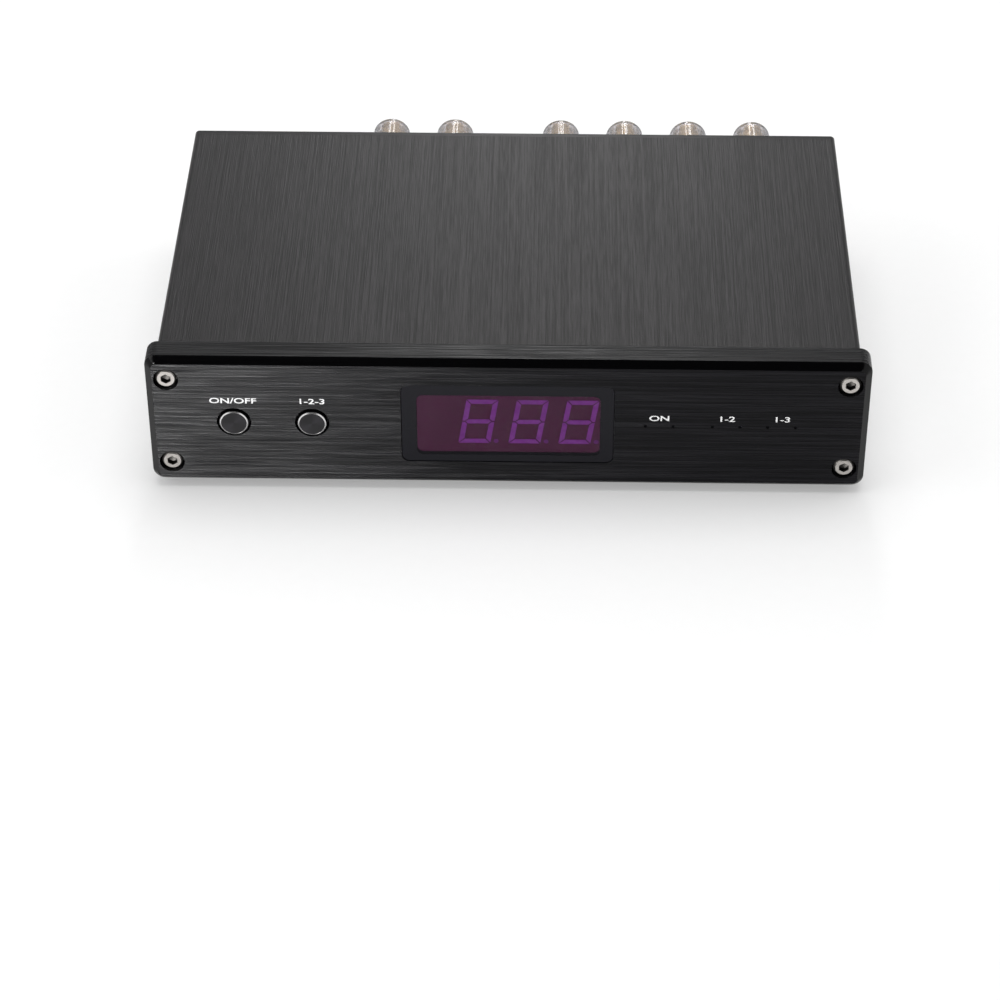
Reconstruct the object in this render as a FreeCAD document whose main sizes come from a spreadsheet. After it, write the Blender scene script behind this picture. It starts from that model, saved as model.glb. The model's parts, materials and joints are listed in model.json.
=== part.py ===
import FreeCAD, Part
import os
import re

import Sketcher

# Speaker selector switch: a flat desktop box with a thick front panel, two push buttons, a
# three-digit display behind a smoked lens, and twelve binding posts and a supply inlet at the back.
# Millimetres. +X is to the right seen from the front, +Y is to the back, +Z is up.
# The origin is on the surface the feet stand on, in the middle of the width and of the depth.

doc = FreeCAD.newDocument("speaker_selector")

SIZES = {
    "front panel": {
        "panel_side_overhang": 2.35,
        "panel_top_overhang": 2.3,
        "panel_thickness": 7.7,
        "panel_corner_radius": 3.1,
        "panel_chamfer": 1.7,
    },
    "extruded case": {
        "case_width": 178.3,
        "case_height": 34.4,
        "case_length": 102.6,
        "case_wall": 2.0,
        "case_edge_radius": 1.3,
        "seam_lap": 1.0,
        "seam_gap": 0.1,
        "rear_thickness": 1.5,
    },
    "case screws and their channels": {
        "screw_radius": 1.5,
        "thread_gap": 0.05,
        "channel_wall": 1.3,
        "channel_edge": 0.1,
        "channel_top": 1.35,
        "screw_grip": 8.0,
        "head_radius": 2.7,
        "head_height": 3.0,
        "head_sink": 0.4,
        "counterbore_gap": 0.5,
        "clearance_hole_gap": 0.2,
        "hex_across": 2.5,
        "hex_depth": 1.6,
        "rear_head_height": 1.8,
    },
    "rubber feet": {
        "foot_radius": 6.0,
        "foot_height": 4.0,
        "foot_taper": 0.8,
        "foot_inset_side": 14.0,
        "foot_inset_front": 14.0,
        "foot_inset_back": 14.0,
    },
    "push buttons": {
        "power_button_x": -69.6,
        "button_pitch": 19.9,
        "button_radius": 3.6,
        "button_bore_gap": 0.77,
        "button_proud": 0.65,
        "button_rim": 0.5,
        "button_seat_depth": 3.4,
        "button_seat_gap": 0.1,
        "button_travel": 0.5,
        "flange_radius": 5.0,
        "flange_thickness": 1.0,
        "flange_gap": 0.5,
        "plunger_radius": 1.7,
        "plunger_fit": 0.08,
        "plunger_engagement": 0.6,
        "tact_side": 6.0,
        "tact_height": 3.5,
    },
    "display window": {
        "lens_side_lap": 2.0,
        "lens_bottom_lap": 0.4,
        "lens_thickness": 1.5,
        "lens_sink": 0.2,
        "lens_gap": 0.1,
        "lens_corner_radius": 2.0,
        "window_gap": 0.5,
        "window_left_gap": 3.5,
        "window_right_gap": 1.0,
        "filter_thickness": 0.2,
        "display_drop": 1.6,
        "display_x": 5.2,
        "display_width": 37.6,
        "display_height": 19.0,
        "display_depth": 8.0,
        "display_gap": 0.1,
        "receiver_gap": 0.9,
        "receiver_side": 7.0,
        "receiver_depth": 5.0,
        "receiver_dome_radius": 2.4,
    },
    "status lamps": {
        "lamp_pair_a_x": 35.0,
        "lamp_pair_b_x": 52.0,
        "lamp_pair_c_x": 66.0,
        "lamp_pitch": 7.0,
        "pinhole_radius": 0.45,
        "pipe_gap": 0.05,
        "pipe_sink": 0.3,
        "lamp_radius": 1.5,
        "lamp_gap": 0.2,
        "lamp_skin": 2.4,
        "lamp_length": 5.4,
        "lead_side": 0.5,
        "lead_pitch": 1.6,
    },
    "boards": {
        "board_thickness": 1.6,
        "front_board_side_gap": 1.35,
        "upright_board_gap": 1.2,
        "spacer_radius": 2.6,
        "spacer_inset_side": 4.0,
        "spacer_inset_top": 3.0,
        "main_board_lift": 6.0,
        "main_board_front": 3.0,
        "main_board_back": 12.5,
        "board_side_gap": 0.3,
        "rib_reach": 2.0,
        "rib_height": 1.0,
        "slot_gap": 0.2,
        "tab_width": 30.0,
        "terminal_board_margin": 9.5,
        "connector_x": -25.0,
        "connector_width": 31.0,
        "connector_height": 8.4,
        "link_side": 1.0,
        "link_height": 4.0,
        "link_run": 6.0,
        "link_pitch": 8.0,
    },
    "binding posts": {
        "group_a_x": -35.0,
        "group_b_x": 13.0,
        "group_c_x": 49.0,
        "post_pitch": 18.0,
        "row_pitch": 15.0,
        "stud_radius": 3.0,
        "stud_fit": 0.06,
        "shoulder_radius": 4.4,
        "shoulder_height": 0.8,
        "socket_radius": 2.0,
        "socket_floor": 0.4,
        "wire_hole_radius": 1.5,
        "tail_radius": 1.3,
        "tail_out": 1.2,
        "collar_radius": 5.2,
        "collar_height": 2.8,
        "spigot_radius": 3.9,
        "spigot_gap": 0.1,
        "insulator_thickness": 1.5,
        "nut_across": 8.0,
        "nut_thickness": 2.4,
        "clamp_gap": 0.1,
        "insert_radius": 3.9,
        "insert_end": 0.6,
        "insert_mouth_radius": 2.3,
        "cap_radius": 5.2,
        "cap_reach": 15.2,
        "cap_fit": 0.06,
        "cap_end": 0.8,
        "cap_end_gap": 0.1,
        "cap_mouth_radius": 2.6,
        "cap_round": 1.0,
        "flute_radius": 0.6,
        "flute_depth": 0.3,
        "flute_margin": 1.6,
    },
    "supply inlet": {
        "inlet_x": -66.0,
        "inlet_width": 9.0,
        "inlet_height": 11.0,
        "inlet_length": 14.0,
        "inlet_axis": 6.5,
        "barrel_radius": 4.2,
        "barrel_gap": 0.2,
        "inlet_bore_radius": 3.15,
        "inlet_bore_depth": 9.5,
        "inlet_pin_radius": 1.05,
        "inlet_pin_back": 1.0,
    },
    "parts on the main board": {
        "relay_first_x": -52.0,
        "relay_pitch": 22.0,
        "relay_width": 12.7,
        "relay_length": 29.0,
        "relay_height": 15.7,
        "relay_back": 8.0,
        "driver_x": 20.0,
        "driver_width": 22.0,
        "driver_length": 6.4,
        "driver_height": 3.4,
        "driver_back": 50.0,
        "controller_x": -25.0,
        "controller_width": 18.0,
        "controller_length": 7.6,
        "controller_height": 2.6,
        "controller_back": 50.0,
        "sink_x": 62.0,
        "sink_width": 20.0,
        "sink_length": 10.0,
        "sink_height": 15.5,
        "sink_back": 58.0,
        "fin_thickness": 1.2,
        "fin_depth": 7.0,
        "regulator_width": 10.0,
        "regulator_thickness": 4.5,
        "regulator_height": 14.0,
        "capacitor_x": -64.0,
        "capacitor_pitch": 13.0,
        "capacitor_radius": 5.0,
        "capacitor_height": 13.0,
        "capacitor_back": 62.0,
    },
}

CAP_FLUTES = 12
RELAYS = 6
FINS = 4
CAPACITORS = 2
LINKS = 6
SIDES = ("-1", "1")
ROOT_3 = 1.7320508


# ---------------------------------------------------------------- the spreadsheet of sizes

def write_sizes():
    """Writes every driving size into the sheet, one row each: its word and its number."""
    table = doc.addObject("Spreadsheet::Sheet", "Sizes")
    row = 0
    for group, entries in SIZES.items():
        row += 1
        table.set(f"A{row}", group)
        for word, number in entries.items():
            row += 1
            table.set(f"A{row}", word)
            table.set(f"B{row}", str(number))
            table.setAlias(f"B{row}", word)
    doc.recompute()
    return table


sheet = write_sizes()


def size(word):
    """The number in one cell."""
    return float(getattr(sheet, word))


def formula(text):
    """Makes each bare word in a formula a reference to its cell."""
    return re.sub(r"[a-z]\w*", r"Sizes.\g<0>", str(text))


def bind(item, name, text):
    """Ties one property or constraint to a formula of sizes."""
    item.setExpression(name, formula(text))


# ---------------------------------------------------------------- places worked out from the sizes

DEPTH = "(button_proud + panel_thickness + case_length + rear_thickness + cap_reach)"
FRONT_Y = f"(button_proud - {DEPTH} / 2)"
CASE_Y = f"({FRONT_Y} + panel_thickness)"
REAR_Y = f"({CASE_Y} + case_length)"
BACK_Y = f"({REAR_Y} + rear_thickness)"
MID_Z = "(foot_height + case_height / 2)"
CHANNEL_RADIUS = "(screw_radius + thread_gap + channel_wall)"
SCREW_X = f"(case_width / 2 - channel_edge - {CHANNEL_RADIUS})"
SCREW_Z = f"(case_height / 2 - channel_top - {CHANNEL_RADIUS})"
PANEL_WIDTH = "(case_width + 2 * panel_side_overhang)"
PANEL_HEIGHT = "(case_height + 2 * panel_top_overhang)"
BUTTON_BORE = "(button_radius + button_bore_gap)"
FLANGE_FRONT = "(button_seat_depth + button_seat_gap)"
RECEIVER_X = "(display_x - display_width / 2 - receiver_gap - receiver_side / 2)"
WINDOW_LEFT = f"({RECEIVER_X} - receiver_side / 2 - window_left_gap)"
WINDOW_RIGHT = "(display_x + display_width / 2 + window_right_gap)"
WINDOW_X = f"(({WINDOW_LEFT} + {WINDOW_RIGHT}) / 2)"
WINDOW_WIDTH = f"({WINDOW_RIGHT} - {WINDOW_LEFT})"
WINDOW_HEIGHT = "(display_height + 2 * window_gap)"
LENS_WIDTH = f"({WINDOW_WIDTH} + 2 * lens_side_lap)"
LENS_HEIGHT = f"({WINDOW_HEIGHT} + 2 * (display_drop + lens_bottom_lap))"
FRONT_BOARD_DEPTH = "(lens_sink + lens_thickness + filter_thickness + display_gap + display_depth)"
FRONT_BOARD_Y = f"({FRONT_Y} + {FRONT_BOARD_DEPTH})"
FRONT_BOARD_WIDTH = f"(2 * ({SCREW_X} - {CHANNEL_RADIUS} - front_board_side_gap))"
UPRIGHT_BOARD_HEIGHT = "(case_height - 2 * case_wall - 2 * upright_board_gap)"
SPACER_X = f"({FRONT_BOARD_WIDTH} / 2 - spacer_inset_side)"
SPACER_Z = f"({UPRIGHT_BOARD_HEIGHT} / 2 - spacer_inset_top)"
TACT_FRONT = f"({FRONT_BOARD_DEPTH} - tact_height)"
BOARD_BOTTOM_Z = "(foot_height + case_wall + main_board_lift)"
BOARD_TOP_Z = f"({BOARD_BOTTOM_Z} + board_thickness)"
MAIN_FRONT_Y = f"({FRONT_BOARD_Y} + board_thickness + main_board_front)"
MAIN_BACK_Y = f"({REAR_Y} - main_board_back)"
NUT_BACK = "(rear_thickness + insulator_thickness + nut_thickness)"
KNOB_START = "(collar_height + shoulder_height + clamp_gap)"
INSERT_REACH = "(cap_reach - cap_end - cap_end_gap)"
STUD_REACH = f"({INSERT_REACH} - insert_end - cap_end_gap)"
CAP_BORE = "(insert_radius + cap_fit)"

COLUMNS = {
    "a_left": "group_a_x",
    "a_right": "(group_a_x + post_pitch)",
    "b_left": "group_b_x",
    "b_right": "(group_b_x + post_pitch)",
    "c_left": "group_c_x",
    "c_right": "(group_c_x + post_pitch)",
}
ROWS = {"plus": "row_pitch / 2", "minus": "-row_pitch / 2"}
LAMPS = [
    f"({pair} + {step} * lamp_pitch)"
    for pair in ("lamp_pair_a_x", "lamp_pair_b_x", "lamp_pair_c_x")
    for step in (0, 1)
]
BUTTONS = {"power": "power_button_x", "select": "(power_button_x + button_pitch)"}


def corners_of_case(x, z):
    """The four points at plus and minus x and z."""
    return [(f"{side} * {x}", f"{level} * {z}") for side in SIDES for level in SIDES]


def post_points():
    """The centre of every binding post, from the middle of the rear panel."""
    return [(x, z) for z in ROWS.values() for x in COLUMNS.values()]


# ---------------------------------------------------------------- sketches and features

def new_body(label, x="0", y="0", z="0"):
    """A body with its own label and placement."""
    body = doc.addObject("PartDesign::Body", label)
    body.Label = label
    for axis, text in (("x", x), ("y", y), ("z", z)):
        bind(body, f"Placement.Base.{axis}", text)
    return body


def new_sketch(body, plane, lift="0"):
    """A sketch on one of the body's origin planes, lifted along +X, +Y or +Z."""
    sketch = body.newObject("Sketcher::SketchObject", f"{body.Name}_sketch")
    face = [item for item in body.Origin.OriginFeatures if item.Role == plane][0]
    sketch.AttachmentSupport = (face, [""])
    sketch.MapMode = "FlatFace"
    bind(sketch, "AttachmentOffset.Base.z", f"-({lift})" if plane == "XZ_Plane" else lift)
    return sketch


def fix_point(sketch, edge, point, across, up):
    """Holds one point of an edge at its two distances from the sketch's origin."""
    for kind, text in (("DistanceX", across), ("DistanceY", up)):
        number = sketch.addConstraint(Sketcher.Constraint(kind, -1, 1, edge, point, 1.0))
        bind(sketch, f"Constraints[{number}]", text)


def outline(sketch, corners):
    """A closed outline of straight edges through the corners."""
    first = sketch.GeometryCount
    count = len(corners)
    for step in range(count):
        start = FreeCAD.Vector(step, (step * step) % 7, 0)
        following = (step + 1) % count
        end = FreeCAD.Vector(following, (following * following) % 7, 0)
        sketch.addGeometry(Part.LineSegment(start, end), False)
    for step in range(count):
        following = first + (step + 1) % count
        sketch.addConstraint(Sketcher.Constraint("Coincident", first + step, 2, following, 1))
    for step, (across, up) in enumerate(corners):
        fix_point(sketch, first + step, 1, across, up)


def rectangle(sketch, left, right, low, high):
    """A rectangle between two pairs of distances."""
    outline(sketch, [(left, low), (right, low), (right, high), (left, high)])


def centred(sketch, across, up, width, height):
    """A rectangle about its own centre."""
    rectangle(
        sketch,
        f"{across} - {width} / 2",
        f"{across} + {width} / 2",
        f"{up} - {height} / 2",
        f"{up} + {height} / 2",
    )


def circles(sketch, centres, radius):
    """Circles of one radius."""
    for across, up in centres:
        axis = FreeCAD.Vector(0, 0, 1)
        edge = sketch.addGeometry(Part.Circle(FreeCAD.Vector(1, 1, 0), axis, 1.0), False)
        fix_point(sketch, edge, 3, across, up)
        number = sketch.addConstraint(Sketcher.Constraint("Radius", edge, 1.0))
        bind(sketch, f"Constraints[{number}]", radius)


def hexagon(sketch, across, up, flats):
    """A hexagon with two level flats."""
    long = f"{flats} / {ROOT_3}"
    corners = [
        (f"{across} + {long}", f"{up}"),
        (f"{across} + {long} / 2", f"{up} + {flats} / 2"),
        (f"{across} - {long} / 2", f"{up} + {flats} / 2"),
        (f"{across} - {long}", f"{up}"),
        (f"{across} - {long} / 2", f"{up} - {flats} / 2"),
        (f"{across} + {long} / 2", f"{up} - {flats} / 2"),
    ]
    outline(sketch, corners)


def pad(sketch, length):
    """Material from the sketch along +X, +Y or +Z."""
    body = sketch.getParentGeoFeatureGroup()
    feature = body.newObject("PartDesign::Pad", f"{body.Name}_pad")
    feature.Profile = sketch
    feature.Reversed = sketch.AttachmentSupport[0][0].Role == "XZ_Plane"
    bind(feature, "Length", length)
    return feature


def pocket(sketch, depth):
    """A cut from the sketch along +X, +Y or +Z."""
    body = sketch.getParentGeoFeatureGroup()
    feature = body.newObject("PartDesign::Pocket", f"{body.Name}_pocket")
    feature.Profile = sketch
    feature.Reversed = sketch.AttachmentSupport[0][0].Role != "XZ_Plane"
    bind(feature, "Length", depth)
    return feature


def turn(body, profile, lathe_axis):
    """A turned solid about the body's Y or Z axis; the profile gives radius and place."""
    sketch = new_sketch(body, {"Y": "XY_Plane", "Z": "XZ_Plane"}[lathe_axis])
    outline(sketch, profile)
    feature = body.newObject("PartDesign::Revolution", f"{body.Name}_turning")
    feature.Profile = sketch
    feature.ReferenceAxis = (sketch, ["V_Axis"])
    feature.Angle = 360.0
    return feature


def soften(kind, feature, wanted, amount):
    """A Fillet or Chamfer on the edges of a feature that pass a test."""
    doc.recompute()
    body = feature.getParentGeoFeatureGroup()
    edges = feature.Shape.Edges
    names = [f"Edge{place + 1}" for place, edge in enumerate(edges) if wanted(edge)]
    softened = body.newObject(f"PartDesign::{kind}", f"{body.Name}_{kind.lower()}")
    softened.Base = (feature, names)
    bind(softened, "Radius" if kind == "Fillet" else "Size", amount)
    return softened


def runs_along_y(edge, across, up):
    """Is the edge parallel to Y, at one of these places across and up?"""
    ends = [vertex.Point for vertex in edge.Vertexes]
    if len(ends) != 2 or abs(ends[0].x - ends[1].x) + abs(ends[0].z - ends[1].z) > 1e-6:
        return False
    level = any(abs(ends[0].z - z) < 1e-4 for z in up)
    return level and any(abs(ends[0].x - x) < 1e-4 for x in across)


def from_corners_of(sketch):
    """A test for the edges that run along Y from the corners of a sketched rectangle."""
    doc.recompute()
    box = sketch.Shape.BoundBox
    return lambda edge: runs_along_y(edge, (box.XMin, box.XMax), (box.ZMin, box.ZMax))


def lies_at_y(edge, y):
    """Does the whole edge lie in the plane at y?"""
    return abs(edge.BoundBox.YMin - y) < 1e-6 and abs(edge.BoundBox.YMax - y) < 1e-6


# ---------------------------------------------------------------- front panel and its window

def make_front_panel():
    """The thick front plate, chamfered all round, with its recesses cut from both sides."""
    body = new_body("front_panel", y=FRONT_Y, z=MID_Z)
    plate = new_sketch(body, "XZ_Plane")
    centred(plate, "0", "0", PANEL_WIDTH, PANEL_HEIGHT)
    slab = pad(plate, "panel_thickness")
    rounded = soften("Fillet", slab, from_corners_of(plate), "panel_corner_radius")
    soften("Chamfer", rounded, lambda edge: lies_at_y(edge, 0.0), "panel_chamfer")

    screws = corners_of_case(SCREW_X, SCREW_Z)
    holes = new_sketch(body, "XZ_Plane")
    circles(holes, screws, "screw_radius + clearance_hole_gap")
    circles(holes, [(x, "0") for x in BUTTONS.values()], BUTTON_BORE)
    circles(holes, [(x, "0") for x in LAMPS], "pinhole_radius")
    centred(holes, WINDOW_X, "-display_drop", WINDOW_WIDTH, WINDOW_HEIGHT)
    pocket(holes, "panel_thickness")

    counterbores = new_sketch(body, "XZ_Plane")
    circles(counterbores, screws, "head_radius + counterbore_gap")
    pocket(counterbores, "head_height + head_sink")

    rear_recesses = new_sketch(body, "XZ_Plane", "button_seat_depth")
    circles(rear_recesses, [(x, "0") for x in BUTTONS.values()], "flange_radius + flange_gap")
    pocket(rear_recesses, "panel_thickness - button_seat_depth")

    lamp_recesses = new_sketch(body, "XZ_Plane", "lamp_skin")
    circles(lamp_recesses, [(x, "0") for x in LAMPS], "lamp_radius + lamp_gap")
    pocket(lamp_recesses, "panel_thickness - lamp_skin")

    lens_seat = new_sketch(body, "XZ_Plane")
    width, height = f"({LENS_WIDTH} + 2 * lens_gap)", f"({LENS_HEIGHT} + 2 * lens_gap)"
    centred(lens_seat, WINDOW_X, "0", width, height)
    seat = pocket(lens_seat, "lens_sink + lens_thickness")
    soften("Fillet", seat, from_corners_of(lens_seat), "lens_corner_radius + lens_gap")


def make_lens():
    """The smoked acrylic lens, set just below the panel's face."""
    body = new_body("display_lens", x=WINDOW_X, y=f"{FRONT_Y} + lens_sink", z=MID_Z)
    sketch = new_sketch(body, "XZ_Plane")
    centred(sketch, "0", "0", LENS_WIDTH, LENS_HEIGHT)
    slab = pad(sketch, "lens_thickness")
    soften("Fillet", slab, from_corners_of(sketch), "lens_corner_radius")


def make_filter():
    """The tinted film stuck to the back of the lens."""
    body = new_body(
        "display_filter",
        x=WINDOW_X,
        y=f"{FRONT_Y} + lens_sink + lens_thickness",
        z=f"{MID_Z} - display_drop",
    )
    sketch = new_sketch(body, "XZ_Plane")
    width = f"({WINDOW_WIDTH} - 2 * lens_gap)"
    height = f"({WINDOW_HEIGHT} - 2 * lens_gap)"
    centred(sketch, "0", "0", width, height)
    pad(sketch, "filter_thickness")


# ---------------------------------------------------------------- case

def wall_points(side, ends):
    """The points of a side wall's end, on one side of the case."""
    return [(f"{side} * ({across})", up) for across, up in ends]


def make_cover(label, upper):
    """One half of the extruded case: a wide U with screw channels in its corners."""
    body = new_body(label, y=CASE_Y, z=MID_Z)
    level = "1" if upper else "-1"
    half_x, half_z = "case_width / 2", "case_height / 2"
    if upper:
        ends = [
            (half_x, "0"),
            (f"{half_x} - case_wall / 2", "0"),
            (f"{half_x} - case_wall / 2", "-seam_lap"),
            (f"{half_x} - case_wall", "-seam_lap"),
        ]
    else:
        ends = [
            (half_x, "-seam_gap"),
            (f"{half_x} - case_wall / 2 + seam_gap", "-seam_gap"),
            (f"{half_x} - case_wall / 2 + seam_gap", "-seam_lap - seam_gap"),
            (f"{half_x} - case_wall", "-seam_lap - seam_gap"),
        ]
    outer = [(half_x, f"{level} * {half_z}")]
    inner = [(f"{half_x} - case_wall", f"{level} * ({half_z} - case_wall)")]
    right = wall_points("1", outer + ends + inner)
    left = wall_points("-1", list(reversed(outer + ends + inner)))
    profile = new_sketch(body, "XZ_Plane")
    outline(profile, right + left)
    shell = pad(profile, "case_length")
    edge_x, edge_z = size("case_width") / 2, float(level) * size("case_height") / 2
    soften(
        "Fillet",
        shell,
        lambda edge: runs_along_y(edge, (-edge_x, edge_x), (edge_z,)),
        "case_edge_radius",
    )

    channels = [(f"{side} * {SCREW_X}", f"{level} * {SCREW_Z}") for side in SIDES]
    bosses = new_sketch(body, "XZ_Plane")
    circles(bosses, channels, CHANNEL_RADIUS)
    pad(bosses, "case_length")
    if not upper:
        floor = "(case_wall + main_board_lift - case_height / 2)"
        ribs = new_sketch(body, "XZ_Plane")
        for side in SIDES:
            wall = f"{side} * (case_width / 2 - case_wall / 2)"
            tip = f"{side} * (case_width / 2 - case_wall - rib_reach)"
            rectangle(ribs, wall, tip, f"{floor} - rib_height", floor)
            ceiling = f"({floor} + board_thickness + slot_gap)"
            rectangle(ribs, wall, tip, ceiling, f"{ceiling} + rib_height")
        pad(ribs, "case_length")
    holes = new_sketch(body, "XZ_Plane")
    circles(holes, channels, "screw_radius + thread_gap")
    pocket(holes, "case_length")


def make_rear_panel():
    """The thin rear plate with its holes for the posts, the inlet and the screws."""
    body = new_body("rear_panel", y=REAR_Y, z=MID_Z)
    sketch = new_sketch(body, "XZ_Plane")
    centred(sketch, "0", "0", "case_width", "case_height")
    slab = pad(sketch, "rear_thickness")
    soften("Fillet", slab, from_corners_of(sketch), "case_edge_radius")
    holes = new_sketch(body, "XZ_Plane")
    circles(holes, corners_of_case(SCREW_X, SCREW_Z), "screw_radius + clearance_hole_gap")
    circles(holes, post_points(), "spigot_radius + spigot_gap")
    inlet_z = f"({BOARD_TOP_Z} + inlet_axis - {MID_Z})"
    circles(holes, [("inlet_x", inlet_z)], "barrel_radius + barrel_gap")
    pocket(holes, "rear_thickness")


def make_screws(label, y, head, backwards):
    """Four socket-head screws; backwards ones enter from the rear."""
    body = new_body(label, y=y, z=MID_Z)
    centres = corners_of_case(SCREW_X, SCREW_Z)
    plate = "rear_thickness" if backwards else "(panel_thickness - head_sink - head_height)"
    shank = f"({plate} + screw_grip)"
    heads = new_sketch(body, "XZ_Plane")
    circles(heads, centres, "head_radius")
    pad(heads, head)
    shanks = new_sketch(body, "XZ_Plane", f"-{shank}" if backwards else head)
    circles(shanks, centres, "screw_radius")
    pad(shanks, shank)
    sockets = new_sketch(body, "XZ_Plane", f"{head} - hex_depth" if backwards else "0")
    for across, up in centres:
        hexagon(sockets, across, up, "hex_across")
    pocket(sockets, "hex_depth")


def make_feet():
    """Four round rubber feet, a little wider where they meet the case."""
    body = new_body("feet")
    near = f"({CASE_Y} + foot_inset_front)"
    far = f"({REAR_Y} - foot_inset_back)"
    side = "(case_width / 2 - foot_inset_side)"
    centres = [(f"{sign} * {side}", y) for sign in SIDES for y in (near, far)]
    soles = new_sketch(body, "XY_Plane")
    circles(soles, centres, "foot_radius - foot_taper")
    pad(soles, "foot_height")
    tops = new_sketch(body, "XY_Plane", "foot_height / 2")
    circles(tops, centres, "foot_radius")
    pad(tops, "foot_height / 2")


# ---------------------------------------------------------------- buttons and the front board

def make_button(name, x):
    """A turned push button with a retaining flange, and the switch plunger that it rests on."""
    button = new_body(f"{name}_button", x=x, y=FRONT_Y, z=MID_Z)
    back = f"({FLANGE_FRONT} + flange_thickness)"
    profile = [
        ("0", "-button_proud"),
        ("button_radius - button_rim", "-button_proud"),
        ("button_radius", "button_rim - button_proud"),
        ("button_radius", FLANGE_FRONT),
        ("flange_radius", FLANGE_FRONT),
        ("flange_radius", back),
        ("0", back),
    ]
    turn(button, profile, "Y")
    plunger = new_body(f"{name}_plunger", x=x, y=f"{FRONT_Y} + {back}", z=MID_Z)
    sketch = new_sketch(plunger, "XZ_Plane")
    circles(sketch, [("0", "0")], "plunger_radius")
    pad(sketch, f"{TACT_FRONT} - {back} + plunger_engagement")


def make_tact_switches():
    """The two key switches behind the buttons, each with a well for its plunger."""
    body = new_body("tact_switches", y=f"{FRONT_Y} + {TACT_FRONT}", z=MID_Z)
    housings = new_sketch(body, "XZ_Plane")
    for x in BUTTONS.values():
        centred(housings, x, "0", "tact_side", "tact_side")
    pad(housings, "tact_height")
    wells = new_sketch(body, "XZ_Plane")
    circles(wells, [(x, "0") for x in BUTTONS.values()], "plunger_radius + plunger_fit")
    pocket(wells, "plunger_engagement + 2 * button_travel")


def make_front_board():
    """The board behind the front panel, and the four spacers that hold it off."""
    board = new_body("front_board", y=FRONT_BOARD_Y, z=MID_Z)
    sketch = new_sketch(board, "XZ_Plane")
    centred(sketch, "0", "0", FRONT_BOARD_WIDTH, UPRIGHT_BOARD_HEIGHT)
    pad(sketch, "board_thickness")
    spacers = new_body("board_spacers", y=CASE_Y, z=MID_Z)
    centres = corners_of_case(SPACER_X, SPACER_Z)
    rings = new_sketch(spacers, "XZ_Plane")
    circles(rings, centres, "spacer_radius")
    circles(rings, centres, "screw_radius")
    pad(rings, f"{FRONT_BOARD_DEPTH} - panel_thickness")


def make_display():
    """The three-digit module, the remote receiver beside it, and the six status lamps."""
    module = new_body(
        "digit_display",
        x="display_x",
        y=f"{FRONT_BOARD_Y} - display_depth",
        z=f"{MID_Z} - display_drop",
    )
    face = new_sketch(module, "XZ_Plane")
    centred(face, "0", "0", "display_width", "display_height")
    pad(face, "display_depth")

    receiver = new_body(
        "remote_receiver",
        x=RECEIVER_X,
        y=f"{FRONT_BOARD_Y} - receiver_depth",
        z=f"{MID_Z} - display_drop",
    )
    dome = turn(
        receiver,
        [
            ("0", "-receiver_dome_radius / 2"),
            ("receiver_dome_radius * 0.7", "-receiver_dome_radius / 3"),
            ("receiver_dome_radius", "0"),
            ("receiver_dome_radius", "receiver_depth / 2"),
            ("0", "receiver_depth / 2"),
        ],
        "Y",
    )
    dome.Label = "receiver dome"
    package = new_sketch(receiver, "XZ_Plane")
    centred(package, "0", "0", "receiver_side", "receiver_side")
    pad(package, "receiver_depth")

    lamps = new_body("status_lamps", y=FRONT_Y, z=MID_Z)
    centres = [(x, "0") for x in LAMPS]
    lamp_front = "(lamp_skin + lamp_gap)"
    cylinders = new_sketch(lamps, "XZ_Plane", lamp_front)
    circles(cylinders, centres, "lamp_radius")
    pad(cylinders, "lamp_length")
    pipes = new_sketch(lamps, "XZ_Plane", "pipe_sink")
    circles(pipes, centres, "pinhole_radius - pipe_gap")
    pad(pipes, f"{lamp_front} - pipe_sink")
    leads = new_sketch(lamps, "XZ_Plane", f"{lamp_front} + lamp_length")
    for x in LAMPS:
        for side in SIDES:
            centred(leads, f"{x} + {side} * lead_pitch / 2", "0", "lead_side", "lead_side")
    pad(leads, f"{FRONT_BOARD_DEPTH} - {lamp_front} - lamp_length")


# ---------------------------------------------------------------- main board and what stands on it

def make_main_board():
    """The main board, in the case's slots, with a tab that reaches the inlet."""
    body = new_body("main_board", z=BOARD_BOTTOM_Z)
    edge = "(case_width / 2 - case_wall - board_side_gap)"
    sketch = new_sketch(body, "XY_Plane")
    outline(
        sketch,
        [
            (f"-{edge}", MAIN_FRONT_Y),
            (edge, MAIN_FRONT_Y),
            (edge, MAIN_BACK_Y),
            (f"tab_width - {edge}", MAIN_BACK_Y),
            (f"tab_width - {edge}", f"{REAR_Y} - board_side_gap"),
            (f"-{edge}", f"{REAR_Y} - board_side_gap"),
        ],
    )
    pad(sketch, "board_thickness")


def make_blocks(label, centres, front, width, length, height):
    """Plain moulded packages that stand on the main board, as one group."""
    body = new_body(label, y=front, z=BOARD_TOP_Z)
    sketch = new_sketch(body, "XY_Plane")
    for x in centres:
        centred(sketch, x, f"{length} / 2", width, length)
    pad(sketch, height)


def make_heat_sink():
    """The finned heat sink, and the regulator bolted to its flat back."""
    y = f"{MAIN_BACK_Y} - sink_back"
    sink = new_body("heat_sink", x="sink_x", y=y, z=BOARD_TOP_Z)
    base = new_sketch(sink, "XY_Plane")
    rectangle(base, "-sink_width / 2", "sink_width / 2", "0", "sink_length - fin_depth")
    pad(base, "sink_height")
    fins = new_sketch(sink, "XY_Plane")
    for place in range(FINS):
        share = place / (FINS - 1)
        left = f"(-sink_width / 2 + {share} * (sink_width - fin_thickness))"
        rectangle(fins, left, f"{left} + fin_thickness", "(sink_length - fin_depth) / 2", "sink_length")
    pad(fins, "sink_height")
    regulator = new_body("regulator", x="sink_x", y=f"{y} - regulator_thickness", z=BOARD_TOP_Z)
    package = new_sketch(regulator, "XY_Plane")
    centred(package, "0", "regulator_thickness / 2", "regulator_width", "regulator_thickness")
    pad(package, "regulator_height")


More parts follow.
